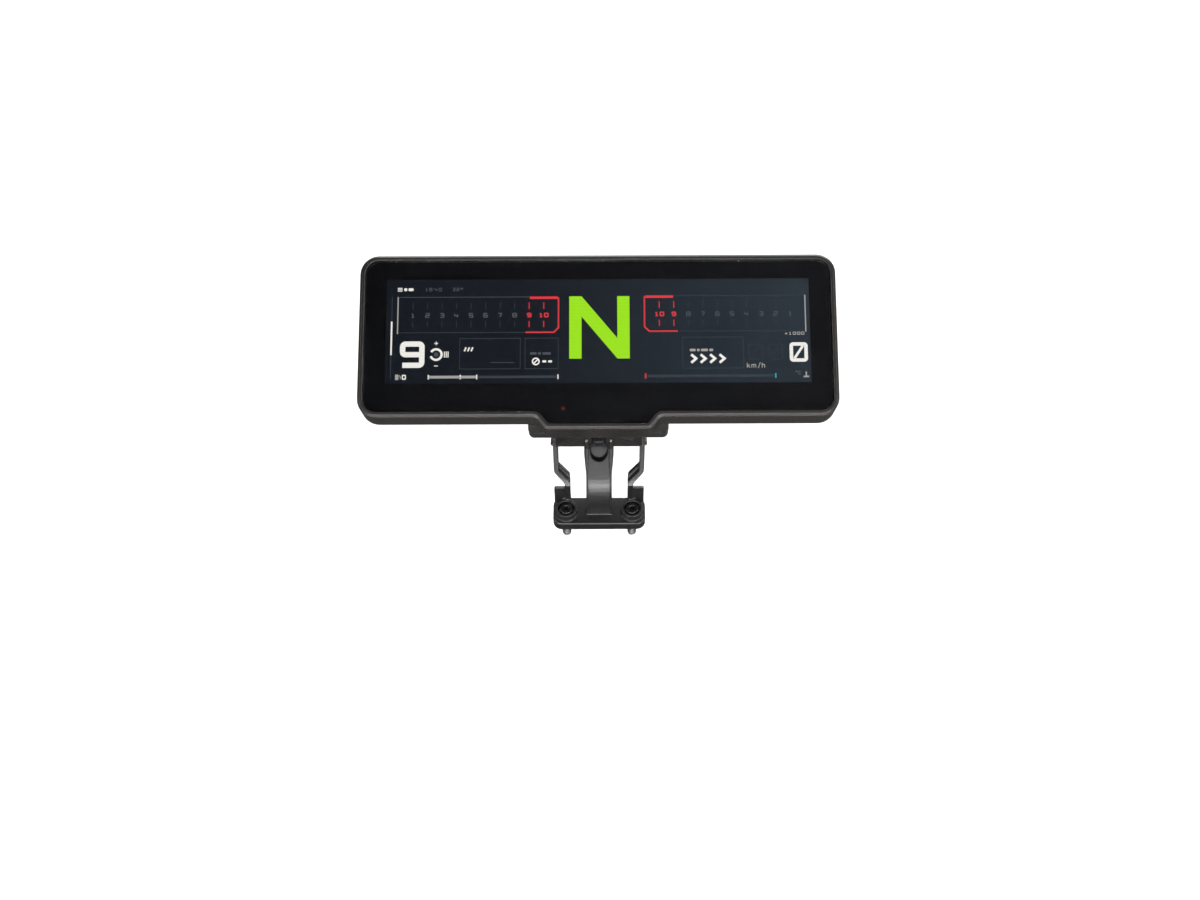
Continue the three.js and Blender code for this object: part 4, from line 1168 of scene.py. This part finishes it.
def floor(height, half=6):
    """A pale floor that bounces less light than the camera sees, and glows more away from the middle."""
    mesh = bpy.data.meshes.new("floor")
    corners = [(-half, -half, height), (half, -half, height), (half, half, height), (-half, half, height)]
    mesh.from_pydata(corners, [], [(0, 1, 2, 3)])
    obj = bpy.data.objects.new("floor", mesh)
    bpy.context.scene.collection.objects.link(obj)
    material, tree, shader, at = node_tree("floor")
    seen = tree.nodes.new("ShaderNodeLightPath").outputs["Is Camera Ray"]
    pale = mixed(tree, span(tree, noise(tree, at, 400, 3), 0, 1), even(0.84), even(0.87))
    tree.links.new(mixed(tree, seen, even(FLOOR_BOUNCE), pale), shader.inputs["Base Color"])
    shader.inputs["Roughness"].default_value = 0.8
    shader.inputs["Specular IOR Level"].default_value = 0.1
    distance = tree.nodes.new("ShaderNodeVectorMath")
    distance.operation = "LENGTH"
    tree.links.new(at, distance.inputs[0])
    far = span(tree, distance.outputs["Value"], GLOW_NEAR, GLOW_FAR, NEAR, FAR)
    glow = mixed(tree, far, even(0), even(1))
    tree.links.new(mixed(tree, seen, even(0), glow), shader.inputs["Emission Color"])
    shader.inputs["Emission Strength"].default_value = 1
    mesh.materials.append(material)


def studio_world():
    """A dim room, lighter to the right; seen directly, it is plain white behind the object."""
    world = bpy.data.worlds.new("studio")
    bpy.context.scene.world = world
    world.use_nodes = True
    tree = world.node_tree
    background = tree.nodes["Background"]
    place = tree.nodes.new("ShaderNodeTexCoord")
    split = tree.nodes.new("ShaderNodeSeparateXYZ")
    tree.links.new(place.outputs["Generated"], split.inputs["Vector"])
    room = mixed(tree, span(tree, split.outputs["X"], 0, 1, -0.2, 0.2), ROOM_LEFT, ROOM_RIGHT)
    seen = tree.nodes.new("ShaderNodeLightPath").outputs["Is Camera Ray"]
    tree.links.new(mixed(tree, seen, room, even(1)), background.inputs["Color"])
    background.inputs["Strength"].default_value = 1


LAMPS = {  # place, width and height in metres, then watts
    "key": ((0, -1.6, 1.0), 2.4, 0.3, 15),
    "overhead": ((0, 0.5, 1.5), 1.8, 0.7, 8),
    "left": ((-1.5, -0.35, 0.6), 0.6, 1.0, 9),
    "right": ((1.5, -0.35, 0.6), 0.6, 1.0, 12),
    "back": ((0.3, 1.6, 0.8), 1.6, 0.8, 15),
}

lowest = cad_box[0].z
middle = (cad_box[0] + cad_box[1]) / 2
floor(lowest - 0.0005)
studio_world()
for lamp, (place, width, height, watts) in LAMPS.items():
    area_light(lamp, place, middle, width, height, watts)

# A narrow lamp under the front edge lights its chamfer; the camera doesn't see the lamp itself.
card_target = Vector((0, cad_box[0].y, middle.z))
low_card = area_light("low_card", (0, -0.29, lowest + 0.01), card_target, 0.8, 0.12, 5.5)
low_card.visible_camera = False

CAMERA_AT = (0.0038, -0.81306, 0.48969)
CAMERA_FORWARD, CAMERA_UP = (-0.0034, 0.877, -0.4805), (0.0039, 0.4805, 0.877)


def rider_camera():
    """The rider's eye, about 0.9 m from the hinge, looking forward and down."""
    camera = bpy.data.cameras.new("rider_view")
    camera.lens = 50
    camera.sensor_width = 36
    obj = bpy.data.objects.new("rider_view", camera)
    bpy.context.scene.collection.objects.link(obj)
    forward = Vector(CAMERA_FORWARD).normalized()
    right = forward.cross(Vector(CAMERA_UP)).normalized()
    up = right.cross(forward)
    turn = Matrix((right, up, -forward)).transposed().to_4x4()
    obj.matrix_world = Matrix.Translation(CAMERA_AT) @ turn
    bpy.context.scene.camera = obj


rider_camera()
bpy.context.scene.view_settings.view_transform = "Standard"
